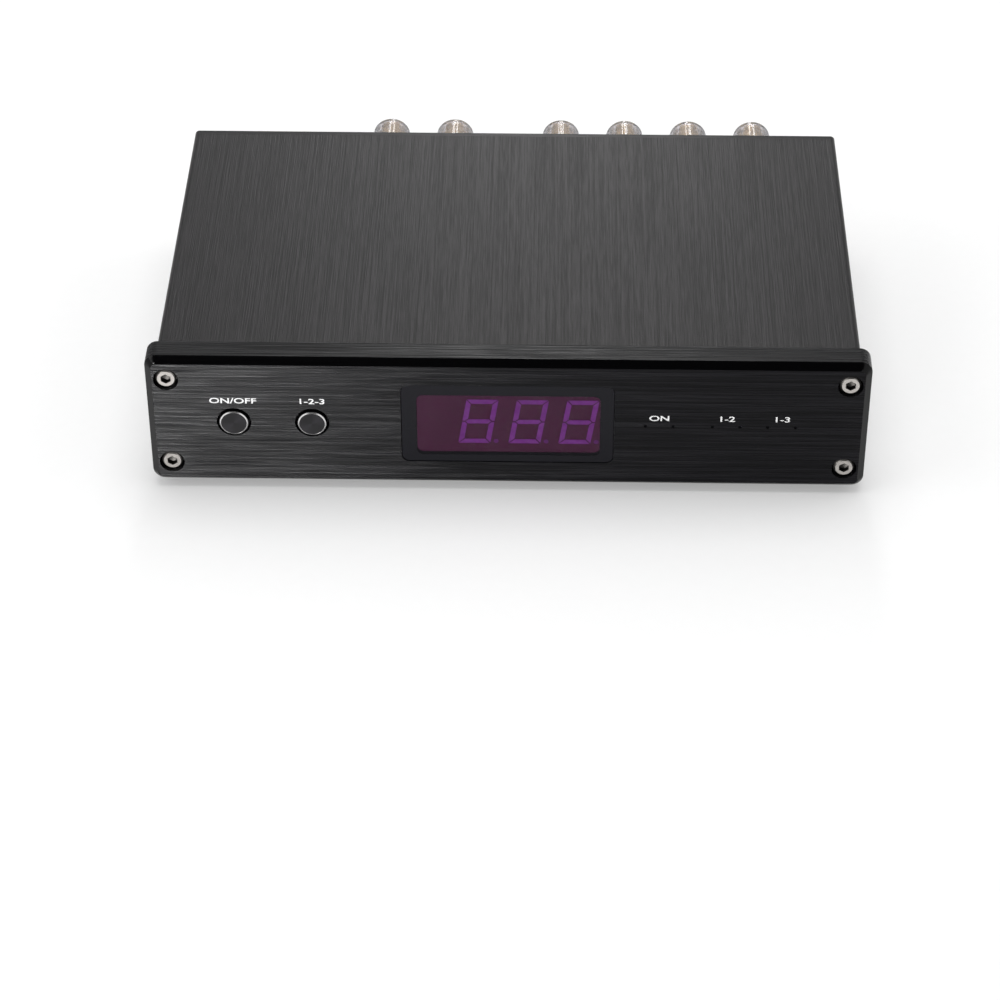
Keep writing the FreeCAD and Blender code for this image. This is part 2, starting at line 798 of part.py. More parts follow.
def make_capacitors():
    """Two upright electrolytic capacitors near the inlet."""
    body = new_body("capacitors", y=f"{MAIN_BACK_Y} - capacitor_back", z=BOARD_TOP_Z)
    sketch = new_sketch(body, "XY_Plane")
    centres = [(f"capacitor_x + {place} * capacitor_pitch", "0") for place in range(CAPACITORS)]
    circles(sketch, centres, "capacitor_radius")
    pad(sketch, "capacitor_height")


def make_connector():
    """The right-angle header that joins the front board to the main board."""
    front = f"({FRONT_BOARD_Y} + board_thickness)"
    body = new_body("board_connector", x="connector_x", y=front, z=BOARD_TOP_Z)
    sketch = new_sketch(body, "XY_Plane")
    length = "(main_board_front + connector_height)"
    centred(sketch, "0", f"{length} / 2", "connector_width", length)
    pad(sketch, "connector_height")


def make_inlet():
    """The coaxial supply inlet on the main board's tab, and its centre pin."""
    body = new_body("supply_inlet", x="inlet_x", y=REAR_Y, z=BOARD_TOP_Z)
    housing = new_sketch(body, "XZ_Plane", "-inlet_length")
    rectangle(housing, "-inlet_width / 2", "inlet_width / 2", "0", "inlet_height")
    pad(housing, "inlet_length")
    barrel = new_sketch(body, "XZ_Plane")
    circles(barrel, [("0", "inlet_axis")], "barrel_radius")
    pad(barrel, "rear_thickness")
    bore = new_sketch(body, "XZ_Plane", "rear_thickness - inlet_bore_depth")
    circles(bore, [("0", "inlet_axis")], "inlet_bore_radius")
    pocket(bore, "inlet_bore_depth")
    pin = new_body(
        "supply_pin",
        x="inlet_x",
        y=f"{BACK_Y} - inlet_bore_depth",
        z=f"{BOARD_TOP_Z} + inlet_axis",
    )
    sketch = new_sketch(pin, "XZ_Plane")
    circles(sketch, [("0", "0")], "inlet_pin_radius")
    pad(sketch, "inlet_bore_depth - inlet_pin_back")


# ---------------------------------------------------------------- binding posts

def make_rings(label, centres, steps):
    """Rings of one bore on the posts' axes: each step is start, length and outer radius."""
    body = new_body(label, y=BACK_Y, z=MID_Z)
    for start, length, radius in steps:
        sketch = new_sketch(body, "XZ_Plane", start)
        circles(sketch, centres, radius)
        circles(sketch, centres, "stud_radius + stud_fit")
        pad(sketch, length)


def make_studs():
    """Twelve studs: socket for a 4 mm plug at the end, cross hole for a bare wire, solder tail."""
    body = new_body("post_studs", y=BACK_Y, z=MID_Z)
    centres = post_points()
    tail = "(board_thickness + tail_out)"
    for start, length, radius in (
        (f"-{NUT_BACK}", f"{NUT_BACK} + {STUD_REACH}", "stud_radius"),
        ("collar_height", "shoulder_height", "shoulder_radius"),
        (f"-({NUT_BACK} + {tail})", tail, "tail_radius"),
    ):
        sketch = new_sketch(body, "XZ_Plane", start)
        circles(sketch, centres, radius)
        pad(sketch, length)
    sockets = new_sketch(body, "XZ_Plane", "socket_floor")
    circles(sockets, centres, "socket_radius")
    pocket(sockets, f"{STUD_REACH} - socket_floor")
    reach = "(row_pitch / 2 + cap_radius)"
    wire_holes = new_sketch(body, "XY_Plane", f"-{reach}")
    places = [(x, f"{KNOB_START} + wire_hole_radius") for x in COLUMNS.values()]
    circles(wire_holes, places, "wire_hole_radius")
    pocket(wire_holes, f"2 * {reach}")


def make_nuts():
    """The nuts that pull the studs tight from inside."""
    body = new_body("post_nuts", y=BACK_Y, z=MID_Z)
    sketch = new_sketch(body, "XZ_Plane", f"-{NUT_BACK}")
    for x, z in post_points():
        hexagon(sketch, x, z, "nut_across")
    circles(sketch, post_points(), "stud_radius + stud_fit")
    pad(sketch, "nut_thickness")


def make_terminal_board():
    """The upright board soldered to the posts' tails, and its links to the main board."""
    y = f"{BACK_Y} - {NUT_BACK} - board_thickness"
    board = new_body("terminal_board", y=y, z=MID_Z)
    sketch = new_sketch(board, "XZ_Plane")
    left = "group_a_x - terminal_board_margin"
    right = "group_c_x + post_pitch + terminal_board_margin"
    half = f"{UPRIGHT_BOARD_HEIGHT} / 2"
    rectangle(sketch, left, right, f"-{half}", half)
    circles(sketch, post_points(), "tail_radius + thread_gap")
    pad(sketch, "board_thickness")

    links = new_body("board_links", z=BOARD_TOP_Z)
    feet = new_sketch(links, "XY_Plane")
    bars = new_sketch(links, "XZ_Plane", f"{y} - link_run")
    for place in range(LINKS):
        x = f"((group_a_x + group_c_x + post_pitch) / 2 + {place - (LINKS - 1) / 2} * link_pitch)"
        foot_y = f"{y} - link_run + link_side / 2"
        centred(feet, x, foot_y, "link_side", "link_side")
        centred(bars, x, "link_height", "link_side", "link_side")
    pad(feet, "link_height")
    pad(bars, "link_run")


def make_knob(name, x, z):
    """One post's knob: the threaded metal insert and the clear cap around it."""
    insert = new_body(f"insert_{name}", x=x, y=BACK_Y, z=f"{MID_Z} + {z}")
    inner = f"({INSERT_REACH} - insert_end)"
    turn(
        insert,
        [
            ("stud_radius + stud_fit", KNOB_START),
            ("insert_radius", KNOB_START),
            ("insert_radius", INSERT_REACH),
            ("insert_mouth_radius", INSERT_REACH),
            ("insert_mouth_radius", inner),
            ("stud_radius + stud_fit", inner),
        ],
        "Y",
    )
    cap = new_body(f"cap_{name}", x=x, y=BACK_Y, z=f"{MID_Z} + {z}")
    shoulder = "(cap_reach - cap_end)"
    turned = turn(
        cap,
        [
            (CAP_BORE, KNOB_START),
            ("cap_radius", KNOB_START),
            ("cap_radius", "cap_reach"),
            ("cap_mouth_radius", "cap_reach"),
            ("cap_mouth_radius", shoulder),
            (CAP_BORE, shoulder),
        ],
        "Y",
    )
    rim = size("cap_radius")
    reach = size("cap_reach")
    soften(
        "Fillet",
        turned,
        lambda edge: lies_at_y(edge, reach) and abs(edge.Curve.Radius - rim) < 1e-6,
        "cap_round",
    )
    flute = new_sketch(cap, "XZ_Plane", f"{KNOB_START} + flute_margin")
    circles(flute, [("cap_radius + flute_radius - flute_depth", "0")], "flute_radius")
    groove = pocket(flute, f"cap_reach - {KNOB_START} - 2 * flute_margin")
    flutes = cap.newObject("PartDesign::PolarPattern", f"{cap.Name}_flutes")
    flutes.Originals = [groove]
    flutes.Axis = (turned.Profile[0], ["V_Axis"])
    flutes.Angle = 360.0
    flutes.Occurrences = CAP_FLUTES
    cap.Tip = flutes


# ---------------------------------------------------------------- the whole part

def make_all():
    """Makes every piece, from the front to the back."""
    make_front_panel()
    make_lens()
    make_filter()
    make_cover("top_cover", True)
    make_cover("bottom_cover", False)
    make_rear_panel()
    make_screws("front_screws", f"{FRONT_Y} + head_sink", "head_height", False)
    make_screws("rear_screws", BACK_Y, "rear_head_height", True)
    make_feet()
    for name, x in BUTTONS.items():
        make_button(name, x)
    make_tact_switches()
    make_front_board()
    make_display()
    make_main_board()
    relays = [f"relay_first_x + {place} * relay_pitch" for place in range(RELAYS)]
    front = f"{MAIN_BACK_Y} - relay_back - relay_length"
    make_blocks("relays", relays, front, "relay_width", "relay_length", "relay_height")
    for name, label in (("driver", "relay_driver"), ("controller", "microcontroller")):
        make_blocks(
            label,
            [f"{name}_x"],
            f"{MAIN_BACK_Y} - {name}_back",
            f"{name}_width",
            f"{name}_length",
            f"{name}_height",
        )
    make_heat_sink()
    make_capacitors()
    make_connector()
    make_inlet()
    make_studs()
    make_nuts()
    steps = [
        ("0", "collar_height", "collar_radius"),
        ("-rear_thickness", "rear_thickness", "spigot_radius"),
    ]
    for label, row in (("red_collars", "plus"), ("black_collars", "minus")):
        centres = [(x, ROWS[row]) for x in COLUMNS.values()]
        make_rings(label, centres, steps)
    start = "-(rear_thickness + insulator_thickness)"
    make_rings("post_insulators", post_points(), [(start, "insulator_thickness", "collar_radius")])
    make_terminal_board()
    for column, x in COLUMNS.items():
        for row, z in ROWS.items():
            make_knob(f"{column}_{row}", x, z)


def write_parts():
    """Checks every object and writes each body's shape to its own file."""
    doc.recompute()
    for item in doc.Objects:
        if "Invalid" in item.State or "Error" in item.State:
            raise RuntimeError(f"{item.Label} could not be computed: {item.State}")
    bodies = [item for item in doc.Objects if item.TypeId == "PartDesign::Body"]
    for body in bodies:
        if body.Shape.isNull() or not body.Shape.isValid():
            raise RuntimeError(f"{body.Label} has no valid shape")
    os.makedirs("parts", exist_ok=True)
    for body in bodies:
        body.Shape.exportStep(f"parts/{body.Label}.step")
        print(body.Label, len(body.Shape.Solids), round(body.Shape.Volume, 1))
    print(len(bodies), "parts")


make_all()
write_parts()
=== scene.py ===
import json
import logging
import math
from dataclasses import dataclass, field
from enum import Enum
from typing import Sequence

import bmesh
import bpy
from bmesh.types import BMEdge, BMesh, BMVert
from bpy.types import Material, Node, NodeSocket
from mathutils import Matrix, Vector

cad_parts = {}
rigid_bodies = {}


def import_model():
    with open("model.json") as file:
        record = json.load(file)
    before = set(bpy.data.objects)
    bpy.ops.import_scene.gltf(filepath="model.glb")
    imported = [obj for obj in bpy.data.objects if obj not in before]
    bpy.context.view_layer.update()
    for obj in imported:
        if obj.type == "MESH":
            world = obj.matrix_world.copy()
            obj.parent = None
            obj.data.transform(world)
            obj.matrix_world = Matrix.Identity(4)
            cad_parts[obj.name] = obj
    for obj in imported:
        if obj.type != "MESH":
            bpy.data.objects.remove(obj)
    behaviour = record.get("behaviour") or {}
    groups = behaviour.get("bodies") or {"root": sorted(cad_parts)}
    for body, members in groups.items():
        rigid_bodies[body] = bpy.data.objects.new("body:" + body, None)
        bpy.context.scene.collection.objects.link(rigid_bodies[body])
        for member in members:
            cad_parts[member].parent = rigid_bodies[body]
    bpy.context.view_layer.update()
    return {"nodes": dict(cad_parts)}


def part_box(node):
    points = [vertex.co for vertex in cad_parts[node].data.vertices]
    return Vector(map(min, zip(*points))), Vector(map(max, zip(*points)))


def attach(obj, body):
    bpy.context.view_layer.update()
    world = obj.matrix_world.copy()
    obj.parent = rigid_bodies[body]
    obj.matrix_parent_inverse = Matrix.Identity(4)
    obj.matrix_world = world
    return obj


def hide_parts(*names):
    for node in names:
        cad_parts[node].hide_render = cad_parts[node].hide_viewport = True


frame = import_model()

# Looks of a speaker selector switch. Lengths are in millimetres and are turned into metres where
# they are used, but the studio's places, and the places and sizes that a finish is given of its
# piece, are in metres already. +X is right, +Y is back and +Z is up, as in the CAD frame, which
# the pieces' places come from.

MM = 0.001
LOG = logging.getLogger("speaker_selector")
Pair = tuple[float, float]
Triple = tuple[float, float, float]
Profile = Sequence[Pair]
Tone = Triple
Colour = tuple[float, float, float, float]
WHITE = (1.0, 1.0, 1.0, 1.0)
FINE_RELIEF = 0.00003  # metres, the height of a fine surface grain
MASK_BLUR = 0.00004  # metres, half the soft edge of a painted border
NOISE_SPAN = (0.3, 0.7)  # most of a noise lies between these
PLAIN_NOISE_SPAN = (0.25, 0.75)  # most of a noise without detail lies between these


class Grain(Enum):
    """The axis along which a brushed surface was drawn over the belt."""

    SIDE_TO_SIDE = 0
    FRONT_TO_BACK = 1


# ---------------------------------------------------------------- node trees


class NodeTree:
    """The node tree of a material or a world, built one node at a time."""

    def __init__(self, name: str, of_world: bool = False) -> None:
        """Starts an empty material or world with its output.

        Args:
            name: its name.
            of_world: whether it is a world.
        """
        self.owner = (bpy.data.worlds if of_world else bpy.data.materials).new(name)
        self.owner.use_nodes = True
        self.tree = self.owner.node_tree
        self.tree.nodes.clear()
        self.output = self.add("OutputWorld" if of_world else "OutputMaterial")

    def add(self, kind: str, settings: dict | None = None, **inputs: object) -> Node:
        """Adds a node.

        Args:
            kind: the node's type without its ShaderNode prefix.
            settings: properties to set on it.
            inputs: socket values or sockets to link, by name; _ stands for a space, and a name
                such as i1 means the input with that number.

        Returns:
            The node.
        """
        node = self.tree.nodes.new(f"ShaderNode{kind}")
        for key, value in (settings or {}).items():
            setattr(node, key, value)
        for key, value in inputs.items():
            place = int(key[1:]) if key[0] == "i" and key[1:].isdigit() else key.replace("_", " ")
            socket = node.inputs[place]
            if isinstance(value, NodeSocket):
                self.tree.links.new(value, socket)
            else:
                socket.default_value = value
        return node

    def math(self, operation: str, first: object, second: object = 0.0) -> NodeSocket:
        """One math node's result, from numbers or sockets."""
        return self.add("Math", {"operation": operation}, i0=first, i1=second).outputs[0]

    def spread(
        self, value: object, low: float, high: float, to_low: float = 0.0, to_high: float = 1.0
    ) -> NodeSocket:
        """A value moved from the span of low to high to a new one, and held inside it."""
        spans = {"From_Min": low, "From_Max": high, "To_Min": to_low, "To_Max": to_high}
        return self.add("MapRange", i0=value, **spans).outputs[0]

    def place(
        self, scale: Sequence[float] = (1, 1, 1), move: Sequence[float] = (0, 0, 0)
    ) -> NodeSocket:
        """Object coordinates, scaled to cycles per metre and then moved."""
        coords = self.add("TexCoord").outputs["Object"]
        return self.add("Mapping", Vector=coords, Scale=scale, Location=move).outputs[0]

    def apart(self, vector: NodeSocket) -> bpy.types.bpy_prop_collection:
        """A vector's three parts, as sockets."""
        return self.add("SeparateXYZ", Vector=vector).outputs

    def away(self, centre: Vector) -> bpy.types.bpy_prop_collection:
        """How far right, back and up of a centre a place is, as three sockets."""
        return self.apart(self.place(move=-centre))

    def normal(self) -> NodeSocket:
        """The true normal of the surface."""
        return self.add("NewGeometry").outputs["True Normal"]

    def noise(self, scale: Sequence[float], detail: float = 2.0, rough: float = 0.5) -> NodeSocket:
        """Noise of so many cycles per metre along each axis, about 0.25 to 0.75."""
        inputs = {"Vector": self.place(scale), "Detail": detail, "Roughness": rough}
        return self.add("TexNoise", Scale=1.0, **inputs).outputs[0]

    def swing(self, noise: NodeSocket, low: float = 0.0, high: float = 1.0) -> NodeSocket:
        """A number that goes from low to high as a noise does."""
        return self.spread(noise, *NOISE_SPAN, low, high)

    def mix(self, factor: object, low: object, high: object) -> NodeSocket:
        """A number between two, by a factor."""
        return self.add("Mix", {"data_type": "FLOAT"}, i0=factor, i2=low, i3=high).outputs[0]

    def blend(self, factor: object, low: object, high: object) -> NodeSocket:
        """A colour between two, by a factor."""
        return self.add("Mix", {"data_type": "RGBA"}, i0=factor, i6=low, i7=high).outputs[2]

    def mottled(self, noise: NodeSocket, tone: Tone, low: float, high: float) -> NodeSocket:
        """A tone, times low where the noise is low and times high where it is high."""
        return self.blend(self.swing(noise), shade(tone, low), shade(tone, high))

    def bump(self, height: object, strength: float, distance: float = FINE_RELIEF) -> NodeSocket:
        """The normal over a relief, whose distance is its height in metres."""
        return self.add("Bump", Height=height, Strength=strength, Distance=distance).outputs[0]

    def surface(self, shader: NodeSocket) -> Material:
        """Links the shader to the output and gives back the finished material."""
        self.tree.links.new(shader, self.output.inputs["Surface"])
        return self.owner

    def principled(self, **inputs: object) -> Material:
        """Ends the tree in one Principled shader, with socket values as in add."""
        return self.surface(self.add("BsdfPrincipled", **inputs).outputs[0])


def shade(tone: Sequence[float], factor: float = 1.0) -> Colour:
    """A tone made lighter or darker by a factor, with an alpha of 1."""
    return (tone[0] * factor, tone[1] * factor, tone[2] * factor, 1.0)


# ---------------------------------------------------------------- finishes


@dataclass(frozen=True)
class BrushedAnodised:
    """Aluminium drawn over an abrasive belt and then anodised in a dark tone.

    Each layer of hairlines has its hairs per metre, their length in millimetres and its share.
    The end faces have so many hairs per metre across and so many along. end_facing and cut_off
    are spans of the surface's normal, drawn_span and lean_span of the hairlines' depth.
    """

    name: str
    tone: Tone
    grain: Grain
    contrast: float = 0.35
    roughness: float = 0.42
    polish: float = 0.05
    metallic: float = 0.25
    specular: float = 0.5
    anisotropy: float = 0.6
    relief: float = 0.5
    relief_depth: float = 0.05
    lean_span: Pair = (0.3, 0.7)
    lean: Pair = (-0.1, 0.1)
    layers: tuple[Triple, ...] = (
        (2400.0, 60.0, 0.36),
        (3600.0, 9.0, 0.44),
        (1200.0, 150.0, 0.2),
    )
    octaves: float = 2.0
    drawn_span: Pair = (0.42, 0.58)
    end_hairs: Pair = (2600.0, 30.0)
    end_depth: Pair = (0.44, 0.56)
    end_facing: Pair = (0.75, 0.9)
    cut_edges: bool = False
    cut_off: Pair = (0.04, 0.06)
    cut_tone: float = 0.25
    cut_roughness: float = 0.12

    def stretched(self, across: float, along: float, axis: int) -> Triple:
        """The scale of a noise drawn out along X (axis 0) or Y (1), in cycles per metre."""
        return (along, across, across) if axis == 0 else (across, along, across)

    def drawn(self, sheet: NodeTree) -> NodeSocket:
        """The depth of the hairlines, which run level and across the grain on the end faces.

        Args:
            sheet: the tree that it goes into.

        Returns:
            A socket of about 0.35 to 0.65.
        """
        along = self.grain.value
        shares = []
        for across, length, part in self.layers:
            scale = self.stretched(across, 1.0 / (length * MM), along)
            hairs = sheet.noise(scale, self.octaves, rough=0.6)
            shares.append(sheet.math("MULTIPLY", hairs, part))
        sides = sheet.math("ADD", sheet.math("ADD", shares[0], shares[1]), shares[2])
        facing = sheet.apart(sheet.normal())[along]
        at_end = sheet.spread(sheet.math("ABSOLUTE", facing), *self.end_facing)
        level = sheet.noise(self.stretched(*self.end_hairs, 1 - along), detail=0.0)
        ends = sheet.spread(level, *PLAIN_NOISE_SPAN, *self.end_depth)
        return sheet.mix(at_end, sides, ends)

    def across_grain(self, sheet: NodeTree, drawn: NodeSocket) -> NodeSocket:
        """The direction across the grain, in the surface, in which a highlight is drawn out.

        An end face, which looks along the grain, is brushed level and across it.

        Args:
            sheet: the tree that it goes into.
            drawn: the hairlines, each of which lies at a slightly different angle.

        Returns:
            The tangent socket.
        """
        normal = sheet.normal()
        along = self.grain.value
        facing = sheet.apart(normal)[along]
        off = sheet.spread(drawn, *self.lean_span, *self.lean)
        at_end = sheet.math("MULTIPLY", facing, facing)
        parts = {f"i{along}": 1.0, f"i{1 - along}": sheet.math("ADD", off, at_end), "i2": off}
        axis = sheet.add("CombineXYZ", **parts).outputs[0]
        crossed = sheet.add("VectorMath", {"operation": "CROSS_PRODUCT"}, i0=normal, i1=axis)
        return crossed.outputs[0]

    def cut(self, sheet: NodeTree) -> NodeSocket:
        """Where the surface slopes forward at 45 degrees, as a milled edge does.

        Args:
            sheet: the tree that it goes into.

        Returns:
            1 on the milled edge and 0 elsewhere.
        """
        forward = sheet.math("ABSOLUTE", sheet.apart(sheet.normal())[1])
        off = sheet.math("ABSOLUTE", sheet.math("SUBTRACT", forward, math.sqrt(0.5)))
        return sheet.spread(off, *self.cut_off, 1.0, 0.0)

    def make(self) -> Material:
        """Builds the material.

        Returns:
            The finished material.
        """
        sheet = NodeTree(self.name)
        drawn = self.drawn(sheet)
        share = sheet.spread(drawn, *self.drawn_span)
        low, high = (shade(self.tone, 1.0 + sign * self.contrast) for sign in (-1, 1))
        colour = sheet.blend(share, low, high)
        rough = sheet.mix(share, self.roughness + self.polish, self.roughness - self.polish)
        height = drawn
        if self.cut_edges:
            cut = self.cut(sheet)
            height = sheet.math("MULTIPLY", drawn, sheet.math("SUBTRACT", 1.0, cut))
            colour = sheet.blend(cut, colour, shade(self.tone, self.cut_tone))
            rough = sheet.mix(cut, rough, self.cut_roughness)
        return sheet.principled(
            Base_Color=colour,
            Metallic=self.metallic,
            Roughness=rough,
            Specular_IOR_Level=self.specular,
            Anisotropic=self.anisotropy,
            Tangent=self.across_grain(sheet, drawn),
            Normal=sheet.bump(height, self.relief, self.relief_depth * MM),
        )


@dataclass(frozen=True)
class Moulded:
    """Moulded plastic, resin or rubber with a fine grain."""

    name: str
    tone: Tone
    roughness: float = 0.5
    relief: float = 0.15
    grains_per_metre: float = 2500.0
    clouds_per_metre: float = 120.0
    mottle: float = 0.12
    uneven: float = 0.06
    coat: float = 0.0
    specular: float = 0.5

    def make(self) -> Material:
        """Builds the material.

        Returns:
            The finished material.
        """
        sheet = NodeTree(self.name)
        grain = sheet.noise((self.grains_per_metre,) * 3, detail=3.0, rough=0.6)
        cloud = sheet.noise((self.clouds_per_metre,) * 3)
        smooth, dull = self.roughness - self.uneven, self.roughness + self.uneven
        return sheet.principled(
            Base_Color=sheet.mottled(cloud, self.tone, 1.0 - self.mottle, 1.0 + self.mottle),
            Roughness=sheet.swing(grain, smooth, dull),
            Specular_IOR_Level=self.specular,
            Coat_Weight=self.coat,
            Coat_Roughness=0.08,
            Normal=sheet.bump(grain, self.relief),
        )


@dataclass(frozen=True)
class Plated:
    """Plated or polished metal with faint wiping marks."""

    name: str
    tone: Tone
    roughness: float = 0.2
    marks: float = 0.06
    wipes_per_metre: Triple = (900.0, 2400.0, 900.0)
    relief: float = 0.08

    def make(self) -> Material:
        """Builds the material.

        Returns:
            The finished material.
        """
        sheet = NodeTree(self.name)
        wipe = sheet.noise(self.wipes_per_metre, detail=3.0, rough=0.6)
        return sheet.principled(
            Base_Color=sheet.mottled(wipe, self.tone, 0.9, 1.05),
            Metallic=1.0,
            Roughness=sheet.swing(wipe, self.roughness, self.roughness + self.marks),
            Normal=sheet.bump(wipe, self.relief),
        )


@dataclass(frozen=True)
class SocketNickel:
    """Nickel on a socket screw: bright on the face, with painted shade in the socket and down the
    side, which are also rougher.
    """

    name: str
    face: float
    tone: Tone = (0.5, 0.475, 0.45)
    wipes_per_metre: Triple = (1100.0, 900.0, 1500.0)
    relief: float = 0.1
    painted_shade_from: float = 0.14
    painted_shade_full: float = 0.3
    painted_shade_tone: float = 0.1
    roughness: Pair = (0.26, 0.5)

    def make(self) -> Material:
        """Builds the material.

        Returns:
            The finished material.
        """
        sheet = NodeTree(self.name)
        wipe = sheet.noise(self.wipes_per_metre, detail=3.0, rough=0.6)
        bright = sheet.mottled(wipe, self.tone, 0.86, 1.06)
        # Painted shade: the colour darkens with depth below the face, in the socket and down the
        # side.
        depth = sheet.away(Vector((0.0, self.face, 0.0)))[1]
        dull = sheet.spread(depth, self.painted_shade_from * MM, self.painted_shade_full * MM)
        return sheet.principled(
            Base_Color=sheet.blend(dull, bright, shade(self.tone, self.painted_shade_tone)),
            Metallic=1.0,
            Roughness=sheet.mix(dull, *self.roughness),
            Normal=sheet.bump(wipe, self.relief),
        )


@dataclass(frozen=True)
class TurnedFace:
    """A dark turned face with a bright cut rim, centred on a button, and a painted glint: the face
    is lighter in two opposite sectors.
    """

    name: str
    tone: Tone
    centre: Vector
    rim_radius: float
    rim_depth: float
    rim_tone: Tone = (0.7, 0.69, 0.69)
    rings_per_metre: float = 9000.0
    painted_glint_turn: float = 0.9
    painted_glint_sharpness: float = 5.0
    painted_glint_tones: Pair = (0.8, 1.9)

    def make(self) -> Material:
        """Builds the material.

        Returns:
            The finished material.
        """
        sheet = NodeTree(self.name)
        right, depth, up = sheet.away(self.centre)
        squares = [sheet.math("MULTIPLY", side, side) for side in (right, up)]
        radius = sheet.math("SQRT", sheet.math("ADD", *squares))
        scaled = sheet.math("MULTIPLY", radius, self.rings_per_metre)
        rings = sheet.add("TexNoise", {"noise_dimensions": "1D"}, W=scaled, Scale=1.0, Detail=2.0)
        # Painted glint: the face's colour is lighter in two opposite sectors, as a turned face's
        # sheen would make it.
        angle = sheet.math("ADD", sheet.math("ARCTAN2", up, right), self.painted_glint_turn)
        sweep = sheet.math("ABSOLUTE", sheet.math("SINE", angle))
        painted_glint = sheet.math("POWER", sweep, self.painted_glint_sharpness)
        begins = sheet.spread(radius, self.rim_radius - MASK_BLUR, self.rim_radius + MASK_BLUR / 2)
        ends = sheet.spread(depth, self.rim_depth, self.rim_depth + 1.25 * MASK_BLUR, 1.0, 0.0)
        rim = sheet.math("MULTIPLY", begins, ends)
        face = sheet.blend(painted_glint, *[shade(self.tone, part) for part in self.painted_glint_tones])
        return sheet.principled(
            Base_Color=sheet.blend(rim, face, shade(self.rim_tone)),
            Metallic=sheet.mix(rim, 0.55, 1.0),
            Roughness=sheet.mix(rim, 0.34, 0.22),
            Normal=sheet.bump(rings.outputs[0], strength=0.3, distance=0.00002),
        )


@dataclass(frozen=True)
class SmokedAcrylic:
    """A smoked window with a dark opaque border, both only as deep as its front.

    The window part only takes light away. Its shine comes from the film close behind it.
    """

    name: str
    centre: Vector
    half_width: float
    half_height: float
    corner: float
    border: Tone = (0.0042, 0.0041, 0.0056)
    cover: float = 0.4
    shine: float = 0.3
    haze_per_metre: float = 260.0
    front_facing: Pair = (-0.2, -0.05)

    def make(self) -> Material:
        """Builds the material.

        Returns:
            The finished material.
        """
        sheet = NodeTree(self.name)
        right, _, up = sheet.away(self.centre)
        squares = []
        for side, half in ((right, self.half_width), (up, self.half_height)):
            beyond = sheet.math("SUBTRACT", sheet.math("ABSOLUTE", side), half - self.corner)
            past = sheet.math("MAXIMUM", beyond, 0.0)
            squares.append(sheet.math("MULTIPLY", past, past))
        distance = sheet.math("SQRT", sheet.math("ADD", *squares))
        border = sheet.spread(distance, self.corner - MASK_BLUR, self.corner + MASK_BLUR)
        haze = sheet.noise((self.haze_per_metre,) * 3)
        facing = sheet.apart(sheet.normal())[1]
        in_front = sheet.spread(facing, *self.front_facing, 1.0, 0.0)
        return sheet.principled(
            Base_Color=sheet.blend(border, shade(self.border, 0.0), shade(self.border)),
            Roughness=sheet.swing(haze, 0.4, 0.5),
            Specular_IOR_Level=0.0,
            Coat_Weight=sheet.math("MULTIPLY", border, self.shine),
            Coat_Roughness=0.09,
            Alpha=sheet.math("MULTIPLY", sheet.mix(border, self.cover, 1.0), in_front),
        )


@dataclass(frozen=True)
class ClearPlastic:
    """Clear polycarbonate with faint moulding marks and a painted dark outline."""

    name: str
    tone: Tone = (0.78, 0.75, 0.77)
    painted_outline_tone: Tone = (0.035, 0.035, 0.045)
    painted_outline_span: Pair = (0.3, 0.75)
    flow_per_metre: Triple = (700.0, 300.0, 700.0)

    def make(self) -> Material:
        """Builds the material.

        Returns:
            The finished material.
        """
        sheet = NodeTree(self.name)
        flow = sheet.noise(self.flow_per_metre)
        # Painted shade: the colour darkens towards the outline, where the surface turns away from
        # the view.
        slant = sheet.add("LayerWeight", Blend=0.5).outputs["Facing"]
        edge = sheet.spread(slant, *self.painted_outline_span)
        return sheet.principled(
            Base_Color=sheet.blend(edge, shade(self.tone), shade(self.painted_outline_tone)),
            Roughness=sheet.swing(flow, 0.16, 0.28),
            IOR=1.49,
            Transmission_Weight=0.9,
            Normal=sheet.bump(flow, strength=0.05, distance=0.0001),
        )


@dataclass(frozen=True)
class Ink:
    """Screen-printed marking ink, a little thinner here and there."""

    name: str
    tone: Tone
    marks_per_metre: float = 5200.0

    def make(self) -> Material:
        """Builds the material.

        Returns:
            The finished material.
        """
        sheet = NodeTree(self.name)
        mesh_marks = sheet.noise((self.marks_per_metre,) * 3, rough=0.6)
        return sheet.principled(
            Base_Color=sheet.mottled(mesh_marks, self.tone, 0.86, 1.0),
            Roughness=0.55,
            Normal=sheet.bump(mesh_marks, strength=0.2, distance=0.00001),
        )


@dataclass(frozen=True)
class LitSegment:
    """The milky light guide of a display segment, with a faint painted glow."""

    name: str
    tone: Tone
    strength: float
    clouds_per_metre: float = 900.0

    def make(self) -> Material:
        """Builds the material.

        Returns:
            The finished material.
        """
        sheet = NodeTree(self.name)
        cloud = sheet.noise((self.clouds_per_metre,) * 3)
        colour = sheet.mottled(cloud, self.tone, 0.88, 1.1)
        # Painted glow: the segment gives off a faint light of its own colour, standing in for the
        # light that its milky guide catches.
        sheet.owner.cycles.emission_sampling = "NONE"
        return sheet.principled(
            Base_Color=colour,
            Roughness=0.12,
            Specular_IOR_Level=0.42,
            Emission_Color=colour,
            Emission_Strength=self.strength,
        )


